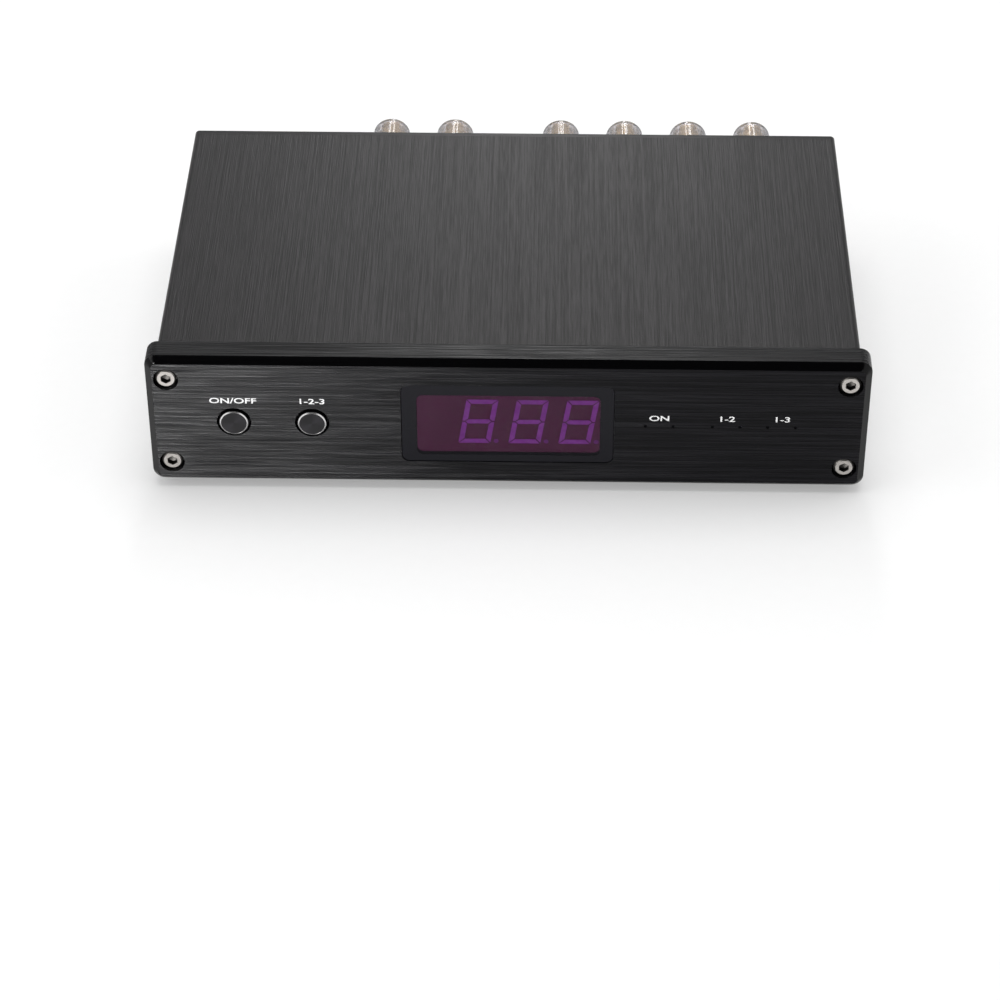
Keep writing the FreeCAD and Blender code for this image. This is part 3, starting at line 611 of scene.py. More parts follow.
@dataclass(frozen=True)
class Laminate:
    """A circuit board: solder mask over copper, with tracks and tinned pads."""

    name: str
    mask: Tone = (0.012, 0.075, 0.03)
    tin: Tone = (0.6, 0.6, 0.58)
    cells_per_metre: float = 160.0
    lanes_per_cell: float = 26.0
    track_span: Pair = (0.1, 0.35)
    pads_per_metre: float = 390.0
    pad_span: Pair = (0.17, 0.2)

    def make(self) -> Material:
        """Builds the material.

        Returns:
            The finished material.
        """
        sheet = NodeTree(self.name)
        vector = sheet.place((self.cells_per_metre,) * 3)
        cells = sheet.add("TexVoronoi", {"distance": "MANHATTAN"}, Vector=vector, Scale=1.0)
        turns = sheet.math("MULTIPLY", cells.outputs["Distance"], self.lanes_per_cell)
        track = sheet.spread(sheet.math("SINE", turns), *self.track_span)
        vector = sheet.place((self.pads_per_metre,) * 3)
        pads = sheet.add("TexVoronoi", Vector=vector, Scale=1.0, Randomness=0.15)
        pad = sheet.spread(pads.outputs["Distance"], *self.pad_span, 1.0, 0.0)
        masked = sheet.blend(track, shade(self.mask, 0.8), shade(self.mask, 1.7))
        return sheet.principled(
            Base_Color=sheet.blend(pad, masked, shade(self.tin)),
            Metallic=sheet.mix(pad, 0.0, 0.9),
            Roughness=sheet.mix(pad, 0.35, 0.25),
            Normal=sheet.bump(track, strength=0.25, distance=0.00005),
        )


# ---------------------------------------------------------------- mesh workshop


def lathe(profile: Profile, steps: int = 96, closed: bool = True) -> BMesh:
    """A shape turned about the Y axis.

    Args:
        profile: radius and depth of each point of the section, in millimetres.
        steps: how many steps the full turn has.
        closed: whether the section closes on itself, as a ring's does.

    Returns:
        The turned mesh, about the origin, in metres.
    """
    bm = bmesh.new()
    verts = [bm.verts.new((radius * MM, depth * MM, 0.0)) for radius, depth in profile]
    edges = [bm.edges.new(pair) for pair in zip(verts, verts[1:])]
    if closed:
        edges.append(bm.edges.new((verts[-1], verts[0])))
    bmesh.ops.spin(
        bm,
        geom=verts + edges,
        cent=(0, 0, 0),
        axis=(0, 1, 0),
        angle=2 * math.pi,
        steps=steps,
        use_merge=True,
    )
    bmesh.ops.remove_doubles(bm, verts=bm.verts[:], dist=1e-7)
    bmesh.ops.recalc_face_normals(bm, faces=bm.faces[:])
    return bm


def turn(bm: BMesh, degrees: float, axis: str) -> None:
    """Turns a whole mesh about an axis through the origin."""
    matrix = Matrix.Rotation(math.radians(degrees), 3, axis)
    bmesh.ops.rotate(bm, matrix=matrix, verts=bm.verts[:])


def shift(bm: BMesh, by: Sequence[float]) -> None:
    """Moves a whole mesh by metres."""
    bmesh.ops.translate(bm, vec=by, verts=bm.verts[:])


def thicken(bm: BMesh, depth: float) -> None:
    """Pulls flat upright faces back into solids.

    Args:
        bm: the flat mesh, whose faces stay in front.
        depth: how far back they are pulled, in millimetres.
    """
    pulled = bmesh.ops.extrude_face_region(bm, geom=bm.faces[:])["geom"]
    moved = [item for item in pulled if isinstance(item, BMVert)]
    bmesh.ops.translate(bm, vec=(0, depth * MM, 0), verts=moved)
    bmesh.ops.recalc_face_normals(bm, faces=bm.faces[:])


def join(target: BMesh, added: BMesh) -> None:
    """Adds one mesh to another and frees it.

    Args:
        target: the mesh that grows.
        added: the mesh that is added.
    """
    mesh = bpy.data.meshes.new("joined")
    added.to_mesh(mesh)
    added.free()
    target.from_mesh(mesh)
    bpy.data.meshes.remove(mesh)


def slab(width: float, height: float, depth: float, corner: float) -> BMesh:
    """A plate with rounded corners, upright, its front face at depth 0.

    Args:
        width: along X, in millimetres.
        height: along Z, in millimetres.
        depth: along Y, in millimetres.
        corner: corner radius in millimetres.

    Returns:
        The mesh in metres, centred on the origin in X and Z.
    """
    bm = bmesh.new()
    bmesh.ops.create_grid(bm, x_segments=1, y_segments=1, size=0.5)
    bmesh.ops.scale(bm, vec=(width * MM, height * MM, 1.0), verts=bm.verts[:])
    turn(bm, 90.0, "X")
    bmesh.ops.bevel(
        bm,
        geom=bm.verts[:],
        offset=corner * MM,
        segments=10,
        profile=0.5,
        affect="VERTICES",
        material=-1,
    )
    thicken(bm, depth)
    return bm


def sharp_edges(bm: BMesh, degrees: float) -> list[BMEdge]:
    """The edges between two faces that turn by more than an angle."""
    pairs = [edge for edge in bm.edges if len(edge.link_faces) == 2]
    return [edge for edge in pairs if edge.calc_face_angle() > math.radians(degrees)]


def ease(bm: BMesh, width: float, segments: int = 2, least: float = 0.0) -> None:
    """Rounds every sharp edge a little.

    Args:
        bm: the mesh.
        width: width of the rounding in millimetres.
        segments: steps across it.
        least: edges shorter than this many millimetres stay as they are.
    """
    bmesh.ops.bevel(
        bm,
        geom=[edge for edge in sharp_edges(bm, 30.0) if edge.calc_length() > least * MM],
        offset=width * MM,
        segments=segments,
        profile=0.5,
        affect="EDGES",
        clamp_overlap=True,
        material=-1,
    )


def copied(node: str) -> BMesh:
    """A CAD node's shape with its loose triangles joined into whole faces.

    Args:
        node: the node's name.

    Returns:
        The mesh, in its place.
    """
    bm = bmesh.new()
    bm.from_mesh(frame["nodes"][node].data)
    bmesh.ops.remove_doubles(bm, verts=bm.verts[:], dist=1e-6)
    bmesh.ops.dissolve_limit(
        bm, angle_limit=math.radians(0.5), verts=bm.verts[:], edges=bm.edges[:], delimit={"NORMAL"}
    )
    return bm


def piece(
    name: str,
    bm: BMesh,
    at: Vector,
    material: Material,
    body: str,
    replaces: Sequence[str] = (),
    smooth_under: float = 35.0,
) -> bpy.types.Object:
    """Turns a mesh into a finished piece of the object.

    Args:
        name: the piece's name.
        bm: its mesh about the origin; it is freed.
        at: where its origin goes, in metres.
        material: its finish.
        body: the CAD body that it rides on.
        replaces: CAD nodes that it stands for.
        smooth_under: edges that turn by less than this many degrees are shaded smooth.

    Returns:
        The object, at the origin, with its place in its mesh.
    """
    shift(bm, at)
    for face in bm.faces:
        face.smooth = True
    for edge in sharp_edges(bm, smooth_under):
        edge.smooth = False
    mesh = bpy.data.meshes.new(name)
    bm.to_mesh(mesh)
    bm.free()
    mesh.materials.append(material)
    made = bpy.data.objects.new(name, mesh)
    bpy.context.scene.collection.objects.link(made)
    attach(made, body)
    if replaces:
        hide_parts(*replaces)
    return made


def dress(material: Material, *nodes: str) -> None:
    """Gives CAD nodes their finish.

    Args:
        material: the finish.
        nodes: the nodes' names.
    """
    for node in nodes:
        shape = frame["nodes"][node]
        if not shape.material_slots:
            shape.data.materials.append(material)
        for place in shape.material_slots:
            place.material = material


def middle(node: str) -> Vector:
    """The centre of a CAD node's box."""
    return sum(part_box(node), Vector()) / 2


def front(node: str) -> Vector:
    """The middle of the front of a CAD node's box."""
    centre = middle(node)
    return Vector((centre.x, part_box(node)[0].y, centre.z))


def sizes(node: str) -> Vector:
    """A CAD node's width, depth and height in millimetres."""
    low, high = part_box(node)
    return (high - low) / MM


# ---------------------------------------------------------------- studio


@dataclass
class Studio:
    """Camera, soft lights, pale floor and backdrop.

    Places and lengths are in metres and the camera's angles in radians. The lens is in
    millimetres. The curtain hangs around a direction, and its edge fades between two angles from
    there, in degrees.
    """

    lens: float = 111.43
    camera_place: Triple = (0.01049, -0.690136, 0.496093)
    pitch: float = 0.672508
    yaw: float = -0.019848
    roll: float = -0.001356
    floor_tone: Tone = (0.9, 0.9, 0.9)
    room_light: float = 0.46
    curtain: Triple = (0.0, -0.605, 0.796)
    curtain_edge: Pair = (38.0, 24.0)
    curtain_light: float = 0.04
    floor_reach: float = 4.0
    floor_clears: Pair = (0.16, 0.5)
    floor_lift: float = 0.3
    fibres_per_metre: float = 300.0

    def camera(self) -> None:
        """Places the camera in front of the box, looking down on it."""
        data = bpy.data.cameras.new("camera")
        data.lens = self.lens
        data.sensor_width = 36.0
        data.clip_start = 0.01
        data.clip_end = 20.0
        forward = Vector(
            (
                math.sin(self.yaw) * math.cos(self.pitch),
                math.cos(self.yaw) * math.cos(self.pitch),
                -math.sin(self.pitch),
            )
        )
        level = Vector((math.cos(self.yaw), -math.sin(self.yaw), 0.0))
        upright = level.cross(forward)
        rolled = Matrix.Rotation(-self.roll, 3, forward)
        axes = Matrix((rolled @ level, rolled @ upright, -forward)).transposed()
        made = bpy.data.objects.new("camera", data)
        made.matrix_world = Matrix.Translation(self.camera_place) @ axes.to_4x4()
        bpy.context.scene.collection.objects.link(made)
        bpy.context.scene.camera = made

    def lamp(
        self,
        name: str,
        place: Sequence[float],
        aim: Sequence[float],
        size: Pair,
        power: float,
    ) -> None:
        """Adds one soft box.

        Args:
            name: the lamp's name.
            place: where it hangs, in metres.
            aim: the point it faces.
            size: its width and height in metres.
            power: its power in watts.
        """
        data = bpy.data.lights.new(name, "AREA")
        data.shape = "RECTANGLE"
        data.size, data.size_y = size
        data.energy = power
        made = bpy.data.objects.new(name, data)
        made.location = place
        made.rotation_mode = "QUATERNION"
        made.rotation_quaternion = (Vector(aim) - Vector(place)).to_track_quat("-Z", "Y")
        made.visible_camera = False
        bpy.context.scene.collection.objects.link(made)

    def lamps(self) -> None:
        """Hangs the soft boxes."""
        self.lamp("top_box", (0.0, 0.15, 1.5), (0.0, 0.0, 0.0), (1.2, 1.2), 13.0)
        self.lamp("left_box", (-1.1, -0.3, 0.9), (0.0, 0.0, 0.02), (0.8, 0.8), 3.5)
        self.lamp("right_box", (1.2, 0.2, 0.9), (0.0, 0.0, 0.02), (0.8, 0.8), 3.0)
        self.lamp("back_box", (0.01, 0.85, 0.68), (0.0, 0.0, 0.04), (0.13, 0.9), 3.0)
        self.lamp("low_box", (-0.16, -0.5, 0.022), (-0.06, 0.0, 0.02), (0.14, 0.044), 3.1)

    def floor(self) -> None:
        """Lays the pale floor, white to the camera where nothing shades it."""
        bm = bmesh.new()
        bmesh.ops.create_grid(bm, x_segments=1, y_segments=1, size=self.floor_reach)
        mesh = bpy.data.meshes.new("floor")
        bm.to_mesh(mesh)
        bm.free()
        sheet = NodeTree("floor_paper")
        fibre = sheet.noise((self.fibres_per_metre,) * 3)
        tone = sheet.mottled(fibre, self.floor_tone, 0.99, 1.0)
        paper = sheet.add("BsdfPrincipled", Base_Color=tone, Roughness=0.8).outputs[0]
        away = sheet.add("VectorMath", {"operation": "LENGTH"}, i0=sheet.place())
        far = sheet.spread(away.outputs["Value"], *self.floor_clears)
        path = sheet.add("LightPath").outputs
        seen = sheet.math("MAXIMUM", path["Is Camera Ray"], path["Is Glossy Ray"])
        seen = sheet.math("MAXIMUM", seen, path["Is Transmission Ray"])
        lift = sheet.math("MULTIPLY", path["Is Camera Ray"], self.floor_lift)
        share_white = sheet.math("MAXIMUM", sheet.math("MULTIPLY", far, seen), lift)
        white = sheet.add("Emission", Color=WHITE, Strength=1.0).outputs[0]
        mixed = sheet.add("MixShader", i0=share_white, i1=paper, i2=white)
        mesh.materials.append(sheet.surface(mixed.outputs[0]))
        made = bpy.data.objects.new("floor", mesh)
        bpy.context.scene.collection.objects.link(made)

    def world(self) -> None:
        """Sets the surroundings: white to camera, metal and glass, with a dark curtain in front."""
        room = NodeTree("room", of_world=True)
        bpy.context.scene.world = room.owner
        ray = room.add("TexCoord").outputs["Generated"]
        facing = room.add("VectorMath", {"operation": "DOT_PRODUCT"}, i0=ray, i1=self.curtain)
        edge = [math.cos(math.radians(angle)) for angle in self.curtain_edge]
        curtain = room.spread(facing.outputs["Value"], *edge, 1.0, self.curtain_light)
        path = room.add("LightPath").outputs
        mirrored = room.math("MAXIMUM", path["Is Glossy Ray"], path["Is Transmission Ray"])
        level = room.math("MULTIPLY", room.math("MAXIMUM", mirrored, self.room_light), curtain)
        level = room.math("MAXIMUM", level, path["Is Camera Ray"])
        room.surface(room.add("Background", Color=WHITE, Strength=level).outputs[0])

    def build(self) -> None:
        """Builds the studio."""
        self.camera()
        self.lamps()
        self.floor()
        self.world()
        bpy.context.scene.view_settings.view_transform = "Standard"


# ---------------------------------------------------------------- front panel


@dataclass
class Lettering:
    """Plain printed marks on a face of the box.

    The weight and the height of a capital are shares of the font's size.
    """

    ink: Material
    thickness: float = 0.02
    stretch: float = 1.44
    weight: float = 0.014
    capital: float = 0.729

    def words(
        self, name: str, text: str, at: Vector, height: float, facing_back: bool = False
    ) -> None:
        """Prints one short word or number, centred.

        Args:
            name: the piece's name.
            text: what it reads.
            at: its middle, on the face, in metres.
            height: height of a capital in millimetres.
            facing_back: whether it is on the rear panel.
        """
        curve = bpy.data.curves.new(name, "FONT")
        curve.body = text
        curve.align_x = "CENTER"
        curve.align_y = "CENTER"
        curve.extrude = self.thickness / 2
        curve.offset = self.weight
        holder = bpy.data.objects.new(f"{name}_curve", curve)
        bpy.context.scene.collection.objects.link(holder)
        bpy.context.view_layer.update()
        graph = bpy.context.evaluated_depsgraph_get()
        mesh = bpy.data.meshes.new_from_object(holder.evaluated_get(graph))
        bpy.data.objects.remove(holder)
        bm = bmesh.new()
        bm.from_mesh(mesh)
        bpy.data.meshes.remove(mesh)
        scale = height / self.capital * MM
        bmesh.ops.scale(bm, vec=(scale * self.stretch, scale, MM), verts=bm.verts[:])
        turn(bm, 90.0, "X")
        if facing_back:
            turn(bm, 180.0, "Z")
        piece(name, bm, at, self.ink, "chassis")


@dataclass
class FrontPanel:
    """The thick front plate, its lettering and its four socket screws."""

    edge_break: float = 0.12
    least_edge: float = 0.25
    head_radius: float = 2.7
    head_height: float = 3.0
    head_bevel: float = 0.5
    hex_across: float = 2.5
    hex_depth: float = 1.6
    cone_tip: float = 0.05
    cone_depth: float = 0.6
    letter_height: float = 1.68
    label_rise: float = 6.6
    lamp_label_rise: float = 2.4
    lamp_pairs: dict[str, float] = field(
        default_factory=lambda: {"ON": 38.5, "1-2": 55.5, "1-3": 69.5}
    )

    def screw_head(self) -> BMesh:
        """A cylinder head with a hexagon socket and a drilled cone below, its top at depth 0.

        Returns:
            The mesh about the origin.
        """
        bm = bmesh.new()
        rim = self.head_radius - self.head_bevel
        top = bmesh.ops.create_circle(bm, segments=48, radius=rim * MM)["verts"]
        corner = self.hex_across / math.sqrt(3.0)
        socket = bmesh.ops.create_circle(bm, segments=6, radius=corner * MM)["verts"]
        bmesh.ops.bridge_loops(bm, edges=bm.edges[:])
        outer = [edge for edge in bm.edges if edge.is_boundary and edge.verts[0] in top]
        inner = [edge for edge in bm.edges if edge.is_boundary and edge.verts[0] in socket]
        for loop, steps in (
            (outer, ((self.head_radius / rim, -self.head_bevel), (1.0, -self.head_height))),
            (inner, ((1.0, -self.hex_depth), (self.cone_tip, -self.hex_depth - self.cone_depth))),
        ):
            depth = 0.0
            for grow, down in steps:
                made = bmesh.ops.extrude_edge_only(bm, edges=loop)["geom"]
                verts = [item for item in made if isinstance(item, BMVert)]
                loop = [item for item in made if isinstance(item, BMEdge)]
                bmesh.ops.scale(bm, vec=(grow, grow, 1.0), verts=verts)
                bmesh.ops.translate(bm, vec=(0, 0, (down - depth) * MM), verts=verts)
                depth = down
            bmesh.ops.holes_fill(bm, edges=loop, sides=0)
        turn(bm, 90.0, "X")
        bmesh.ops.recalc_face_normals(bm, faces=bm.faces[:])
        return bm

    def screws(self) -> None:
        """Makes the four front screws' heads as one piece."""
        low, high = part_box("front_screws")
        inset = self.head_radius * MM
        bm = bmesh.new()
        for x in (low.x + inset, high.x - inset):
            for z in (low.z + inset, high.z - inset):
                head = self.screw_head()
                shift(head, (x, low.y, z))
                join(bm, head)
        finish = SocketNickel("nickel_screw", low.y).make()
        piece("front_screw_heads", bm, Vector(), finish, "chassis", ["front_screws"])

    def labels(self) -> None:
        """Prints the plain marks over the buttons and the lamps."""
        ink = Ink("panel_ink", (0.5, 0.5, 0.5)).make()
        print_on = Lettering(ink)
        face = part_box("front_panel")[0].y - 0.5 * print_on.thickness * MM
        level = middle("front_panel").z
        for name, text in (("power", "ON/OFF"), ("select", "1-2-3")):
            at = Vector((middle(f"{name}_button").x, face, level + self.label_rise * MM))
            print_on.words(f"mark_{name}", text, at, self.letter_height)
        for place, (text, x) in enumerate(self.lamp_pairs.items()):
            at = Vector((x * MM, face, level + self.lamp_label_rise * MM))
            print_on.words(f"mark_lamp_{place + 1}", text, at, self.letter_height)

    def build(self) -> None:
        """Dresses the plate and builds what is on it."""
        finish = BrushedAnodised(
            "panel_brushed",
            (0.0014, 0.0013, 0.002),
            Grain.SIDE_TO_SIDE,
            contrast=0.45,
            roughness=0.37,
            polish=0.08,
            metallic=0.0,
            specular=0.16,
            anisotropy=0.97,
            relief=1.0,
            relief_depth=0.5,
            lean_span=(0.48, 0.56),
            lean=(-0.06, 0.23),
            layers=((3000.0, 36.0, 0.5), (4400.0, 14.0, 0.3), (1700.0, 100.0, 0.2)),
            octaves=0.0,
            cut_edges=True,
        )
        plate = copied("front_panel")
        ease(plate, self.edge_break, least=self.least_edge)
        made = piece(
            "front_plate",
            plate,
            Vector(),
            finish.make(),
            "chassis",
            ["front_panel"],
            smooth_under=50.0,
        )
        made.modifiers.new("even_normals", "WEIGHTED_NORMAL").keep_sharp = True
        self.screws()
        self.labels()


@dataclass
class PushButton:
    """A turned metal push button with a dark face and a bright rim."""

    key: str
    radius: float = 3.6
    rim: float = 0.32
    rim_fall: float = 0.16
    flange_radius: float = 5.0
    rim_margin: float = 0.03
    flange_thickness: float = 1.0
    rim_step: float = 0.04
    rim_break: float = 0.06
    dish: float = 0.12
    dish_half_way: float = 0.8
    dish_at_rim: float = 0.4
    tone: Tone = (0.0055, 0.0051, 0.0063)

    def profile(self, length: float) -> Profile:
        """The button's section, from the middle of its face round to the back.

        Args:
            length: depth of the whole button in millimetres.

        Returns:
            Radius and depth of each point.
        """
        face = self.radius - self.rim
        seat = length - self.flange_thickness
        return [
            (0.0, self.dish),
            (face / 2, self.dish * self.dish_half_way),
            (face, self.dish * self.dish_at_rim),
            (face + self.rim_step, 0.0),
            (self.radius - self.rim_break, self.rim_fall),
            (self.radius, self.rim_fall + self.rim_break),
            (self.radius, seat),
            (self.flange_radius, seat),
            (self.flange_radius, length),
            (0.0, length),
        ]

    def build(self) -> None:
        """Builds the button over its CAD node and dresses its plunger."""
        node = f"{self.key}_button"
        bm = lathe(self.profile(sizes(node).y), steps=128, closed=False)
        at = front(node)
        rim = (self.radius - self.rim) * MM
        depth = (self.rim_fall + self.rim_margin) * MM
        finish = TurnedFace(f"{self.key}_button_face", self.tone, at, rim, depth).make()
        name = f"{self.key}_button_cap"
        piece(name, bm, at, finish, node, [node], smooth_under=22.0)
        plunger = f"{self.key}_plunger"
        dress(Moulded(f"{plunger}_plastic", (0.02, 0.02, 0.02)).make(), plunger)


@dataclass
class DisplayWindow:
    """The smoked lens, its film, the three digits behind it and the remote receiver."""

    border: float = 2.63
    border_side: float = 3.7
    window_rise: float = -0.5
    window_shift: float = 0.22
    window_corner: float = 1.6
    corner: float = 2.0
    digit_pitch: float = 12.78
    digit_shift: float = 0.13
    digit_width: float = 8.15
    digit_height: float = 13.75
    bar: float = 1.3
    gap: float = 0.2
    slant: float = 9.0
    point_radius: float = 0.62
    point_right: float = 4.5
    bar_depth: float = 0.05
    digit_rise: float = 1.32
    lens_edge: float = 0.15
    film_clearance: float = 0.12
    film_gap: float = 0.02

    def bars(self) -> list[list[Pair]]:
        """The outlines of a digit's seven bars, mitred where they meet.

        Returns:
            Points across and up from the digit's middle, in millimetres, one list per bar.
        """
        side, top = self.digit_width / 2, self.digit_height / 2
        bar, gap = self.bar, self.gap
        level = [(gap - side, top), (side - gap, top), (side - bar - gap, top - bar)]
        level.append((bar + gap - side, top - bar))
        upright = [(side, top - gap), (side, gap), (side - bar / 2, gap)]
        upright += [(side - bar, bar / 2 + gap), (side - bar, top - bar - gap)]
        tip, shoulder = side - bar / 2 - gap, side - bar - gap
        centre = [(tip, 0.0), (shoulder, bar / 2), (-shoulder, bar / 2)]
        outlines = [centre + [(-x, -z) for x, z in centre]]
        outlines += [[(x, z * half) for x, z in level] for half in (1, -1)]
        outlines += [
            [(x * hand, z * half) for x, z in upright] for hand in (1, -1) for half in (1, -1)
        ]
        return outlines

    def digit(self) -> BMesh:
        """The seven bars of one digit, slanted, their front at depth 0.

        Returns:
            The mesh about the digit's centre.
        """
        bm = bmesh.new()
        for outline in self.bars():
            verts = [bm.verts.new((x * MM, 0.0, z * MM)) for x, z in outline]
            bmesh.ops.contextual_create(bm, geom=verts)
        lean = math.tan(math.radians(self.slant))
        slanted = Matrix(((1, 0, lean, 0), (0, 1, 0, 0), (0, 0, 1, 0), (0, 0, 0, 1)))
        bmesh.ops.transform(bm, matrix=slanted, verts=bm.verts[:])
        thicken(bm, self.bar_depth)
        return bm

    def point(self) -> BMesh:
        """The decimal point beside a digit's foot, its front at depth 0.

        Returns:
            The mesh about the digit's centre.
        """
        bm = bmesh.new()
        bmesh.ops.create_circle(bm, cap_ends=True, segments=24, radius=self.point_radius * MM)
        foot = (self.bar - self.digit_height) / 2
        turn(bm, 90.0, "X")
        shift(bm, (self.point_right * MM, 0, foot * MM))
        thicken(bm, self.bar_depth)
        return bm

    def digits(self) -> None:
        """Puts the three digits and their points on the film, over the module's face."""
        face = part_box("display_filter")[0].y - (self.film_gap + self.bar_depth) * MM
        centre = middle("digit_display")
        lit = LitSegment("segment_light", (0.128, 0.0255, 0.171), 0.8).make()
        dim = LitSegment("point_light", (0.095, 0.02, 0.125), 0.6).make()
        for place in range(3):
            x = centre.x + (self.digit_shift + (place - 1) * self.digit_pitch) * MM
            at = Vector((x, face, centre.z + self.digit_rise * MM))
            piece(f"digit_{place + 1}", self.digit(), at, lit, "chassis")
            piece(f"point_{place + 1}", self.point(), at, dim, "chassis")

    def build(self) -> None:
        """Builds the lens and the digits and dresses what lies behind the lens."""
        width, depth, height = sizes("display_lens")
        bm = slab(width, height, depth - self.film_clearance, self.corner)
        ease(bm, self.lens_edge, segments=3)
        half_width = (width / 2 - self.border_side) * MM
        half_height = (height / 2 - self.border) * MM
        at = front("display_lens")
        seen = at + Vector((self.window_shift * MM, 0.0, self.window_rise * MM))
        corner = self.window_corner * MM
        finish = SmokedAcrylic("smoked_window", seen, half_width, half_height, corner).make()
        piece("window_lens", bm, at, finish, "chassis", ["display_lens"])
        film = Moulded(
            "tinted_film",
            (0.065, 0.016, 0.0445),
            roughness=0.12,
            relief=0.0,
            grains_per_metre=300.0,
            mottle=0.06,
            specular=0.42,
        )
        dress(film.make(), "display_filter")
        dress(Moulded("module_face", (0.05, 0.02, 0.04)).make(), "digit_display")
        resin = Moulded("receiver_resin", (0.02, 0.006, 0.012), 0.2, coat=0.5)
        dress(resin.make(), "remote_receiver")
        self.digits()


# ---------------------------------------------------------------- case


@dataclass
class CaseShell:
    """The two extruded covers, the rear panel, its screws and the rubber feet."""

    tone: Tone = (0.0066, 0.0058, 0.0066)

    def build(self) -> None:
        """Dresses the case's CAD nodes."""
        for node in ("top_cover", "bottom_cover"):
            finish = BrushedAnodised(
                f"{node}_brushed",
                self.tone,
                Grain.FRONT_TO_BACK,
                contrast=0.6,
                roughness=0.35,
                metallic=0.0,
                specular=0.113,
                anisotropy=0.6,
                relief=1.0,
                relief_depth=0.12,
            )
            dress(finish.make(), node)
        rear = BrushedAnodised(
            "rear_brushed",
            (0.015, 0.0145, 0.0155),
            Grain.SIDE_TO_SIDE,
            contrast=0.3,
            roughness=0.4,
            metallic=0.0,
            specular=0.12,
        )
        dress(rear.make(), "rear_panel")
        dress(Plated("black_oxide", (0.05, 0.05, 0.052), 0.35).make(), "rear_screws")
        dress(Moulded("foot_rubber", (0.018, 0.018, 0.018), 0.8, 0.4).make(), "feet")


# ---------------------------------------------------------------- binding posts and inlet


@dataclass
class BindingPost:
    """One post's knob: the plated insert and the clear fluted cap."""

    key: str
    cap: Material
    metal: Material
    cap_radius: float = 5.2
    cap_round: float = 1.0
    cap_bore: float = 3.96
    mouth: float = 2.6
    end: float = 0.8
    flutes: int = 12
    flute_depth: float = 0.16
    flute_share: float = 0.5
    flute_margin: float = 1.6
    flute_end: float = 0.3
    insert_radius: float = 3.9
    insert_bore: float = 3.06
    insert_mouth: float = 2.3
    insert_end: float = 0.6
    insert_break: float = 0.15
    groove_depth: float = 0.12
    groove_slope: float = 0.15
    groove_pitch: float = 1.5
    groove_margin: float = 1.0

    def cap_mesh(self, length: float) -> BMesh:
        """The clear cap, its open end at depth 0.

        Args:
            length: its length in millimetres.

        Returns:
            The mesh about its axis.
        """
        arc = []
        for angle in range(0, 91, 15):
            aside, ahead = math.cos(math.radians(angle)), math.sin(math.radians(angle))
            radius = self.cap_radius - self.cap_round * (1 - aside)
            arc.append((radius, length - self.cap_round * (1 - ahead)))
        start, stop = self.flute_margin, length - self.flute_margin
        full = (start + self.flute_end, stop - self.flute_end)
        side = [(self.cap_radius, depth) for depth in (0.0, start, *full, stop)]
        inner = [(self.mouth, length), (self.mouth, length - self.end)]
        bore = [(self.cap_bore, length - self.end), (self.cap_bore, 0.0)]
        bm = lathe(side + arc + inner + bore, steps=self.flutes * 8)
        slack = self.flute_end / 2
        for vert in bm.verts:
            if not start + slack < vert.co.y / MM < stop - slack:
                continue
            pitches = math.atan2(vert.co.z, vert.co.x) * self.flutes / (2 * math.pi)
            near = 1.0 - min(abs(pitches - round(pitches)) * 2 / self.flute_share, 1.0)
            shrink = 1.0 - self.flute_depth * near / self.cap_radius
            vert.co.x *= shrink
            vert.co.z *= shrink
        return bm

    def insert_mesh(self, length: float) -> BMesh:
        """The plated insert with shallow grooves, its open end at depth 0.

        Args:
            length: its length in millimetres.

        Returns:
            The mesh about its axis.
        """
        high, low = self.insert_radius, self.insert_radius - self.groove_depth
        groove = [(high, 0), (low, 1), (low, 2), (high, 3)]
        outside = [(high, 0.0)]
        for place in range(int((length - 2 * self.groove_margin) / self.groove_pitch)):
            depth = self.groove_margin + place * self.groove_pitch
            outside += [(radius, depth + step * self.groove_slope) for radius, step in groove]
        outside += [(high - self.insert_break, length), (self.insert_mouth, length)]
        inside = [
            (self.insert_mouth, length - self.insert_end),
            (self.insert_bore, length - self.insert_end),
            (self.insert_bore, 0.0),
        ]
        return lathe(outside + inside, steps=64)

    def build(self) -> None:
        """Builds the insert and the cap over their CAD nodes."""
        for kind, maker, material, slot in (
            ("cap", self.cap_mesh, self.cap, "clear_cap"),
            ("insert", self.insert_mesh, self.metal, "gold_brass"),
        ):
            node = f"{kind}_{self.key}"
            bm = maker(sizes(node).y)
            piece(f"post_{kind}_{self.key}", bm, front(node), material, node, [node])


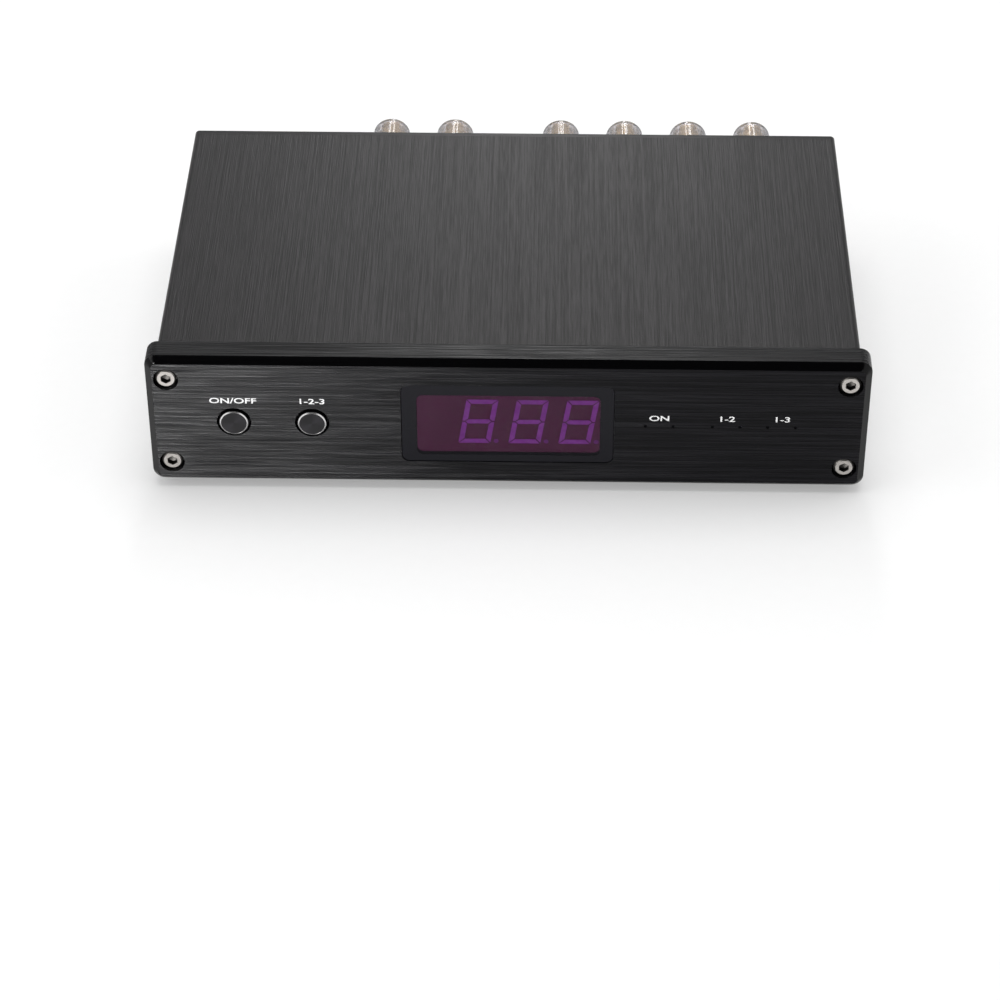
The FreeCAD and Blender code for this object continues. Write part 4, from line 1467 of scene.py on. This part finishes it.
@dataclass
class RearHardware:
    """Studs, collars, the inlet and the plain marks on the rear panel."""

    metal: Material
    mark_height: float = 2.4
    number_height: float = 3.0

    def marks(self) -> None:
        """Prints a number for each group of posts, and plus and minus beside the rows."""
        ink = Ink("rear_ink", (0.6, 0.6, 0.6)).make()
        print_on = Lettering(ink)
        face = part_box("rear_panel")[1].y + 0.5 * print_on.thickness * MM
        for place, group in enumerate(("a", "b", "c")):
            left, right = middle(f"cap_{group}_left_plus"), middle(f"cap_{group}_right_plus")
            low = middle(f"cap_{group}_left_minus")
            x = (left.x + right.x) / 2
            level = (left.z + low.z) / 2
            number, at = str(place + 1), Vector((x, face, level))
            print_on.words(f"mark_pair_{number}", number, at, self.number_height, True)
            for sign, word, height in (("+", "plus", left.z), ("-", "minus", low.z)):
                at = Vector((x, face, height))
                print_on.words(f"mark_{group}_{word}", sign, at, self.mark_height, True)

    def build(self) -> None:
        """Dresses the rear hardware."""
        dress(self.metal, "post_studs", "post_nuts")
        for colour, tone in (("red", (0.42, 0.012, 0.012)), ("black", (0.014, 0.014, 0.014))):
            collar = Moulded(f"{colour}_collar", tone, 0.3, coat=0.4)
            dress(collar.make(), f"{colour}_collars")
        dress(Moulded("inlet_plastic", (0.016, 0.016, 0.016), 0.45).make(), "supply_inlet")
        dress(Plated("pin_nickel", (0.62, 0.6, 0.57)).make(), "supply_pin")
        self.marks()


# ---------------------------------------------------------------- inside the case


@dataclass
class Inside:
    """Everything that the closed case hides."""

    plain: dict[str, Tone] = field(
        default_factory=lambda: {
            "tact_switches": (0.02, 0.02, 0.02),
            "relays": (0.02, 0.04, 0.16),
            "relay_driver": (0.014, 0.014, 0.014),
            "microcontroller": (0.014, 0.014, 0.014),
            "regulator": (0.014, 0.014, 0.014),
            "capacitors": (0.012, 0.014, 0.05),
            "board_connector": (0.55, 0.52, 0.45),
            "post_insulators": (0.5, 0.48, 0.44),
        }
    )

    def build(self) -> None:
        """Dresses the inner nodes."""
        for node, tone in self.plain.items():
            dress(Moulded(f"{node}_moulding", tone, 0.42).make(), node)
        # Painted shade: the status lamps are near black, so that the pinholes in front of them read
        # dark.
        lamp = Moulded("unlit_lamp", (0.002, 0.002, 0.0025), 0.6, specular=0.03)
        dress(lamp.make(), "status_lamps")
        dress(Laminate("board_mask").make(), "front_board", "main_board", "terminal_board")
        sink = BrushedAnodised("sink_black", (0.02, 0.02, 0.02), Grain.SIDE_TO_SIDE)
        dress(sink.make(), "heat_sink")
        dress(Plated("tinned_wire", (0.6, 0.6, 0.6), 0.3).make(), "board_links")
        dress(Plated("spacer_nickel", (0.55, 0.5, 0.42), 0.28).make(), "board_spacers")


# ---------------------------------------------------------------- the whole object


def main() -> None:
    """Builds the studio and every sub-assembly, in order, and reports each piece."""
    logging.basicConfig(level=logging.INFO, format="%(message)s")
    Studio().build()
    gold = Plated("gold_plating", (0.78, 0.58, 0.27), 0.33).make()
    clear = ClearPlastic("clear_cap").make()
    caps = [node for node in sorted(frame["nodes"]) if node.startswith("cap_")]
    groups = [FrontPanel(), PushButton("power"), PushButton("select"), DisplayWindow(), CaseShell()]
    groups += [BindingPost(cap.removeprefix("cap_"), clear, gold) for cap in caps]
    groups += [RearHardware(gold), Inside()]
    for group in groups:
        known = set(bpy.data.objects.keys())
        group.build()
        for name in sorted(set(bpy.data.objects.keys()) - known):
            LOG.info("%s: %s", type(group).__name__, name)


if __name__ == "__main__":
    main()
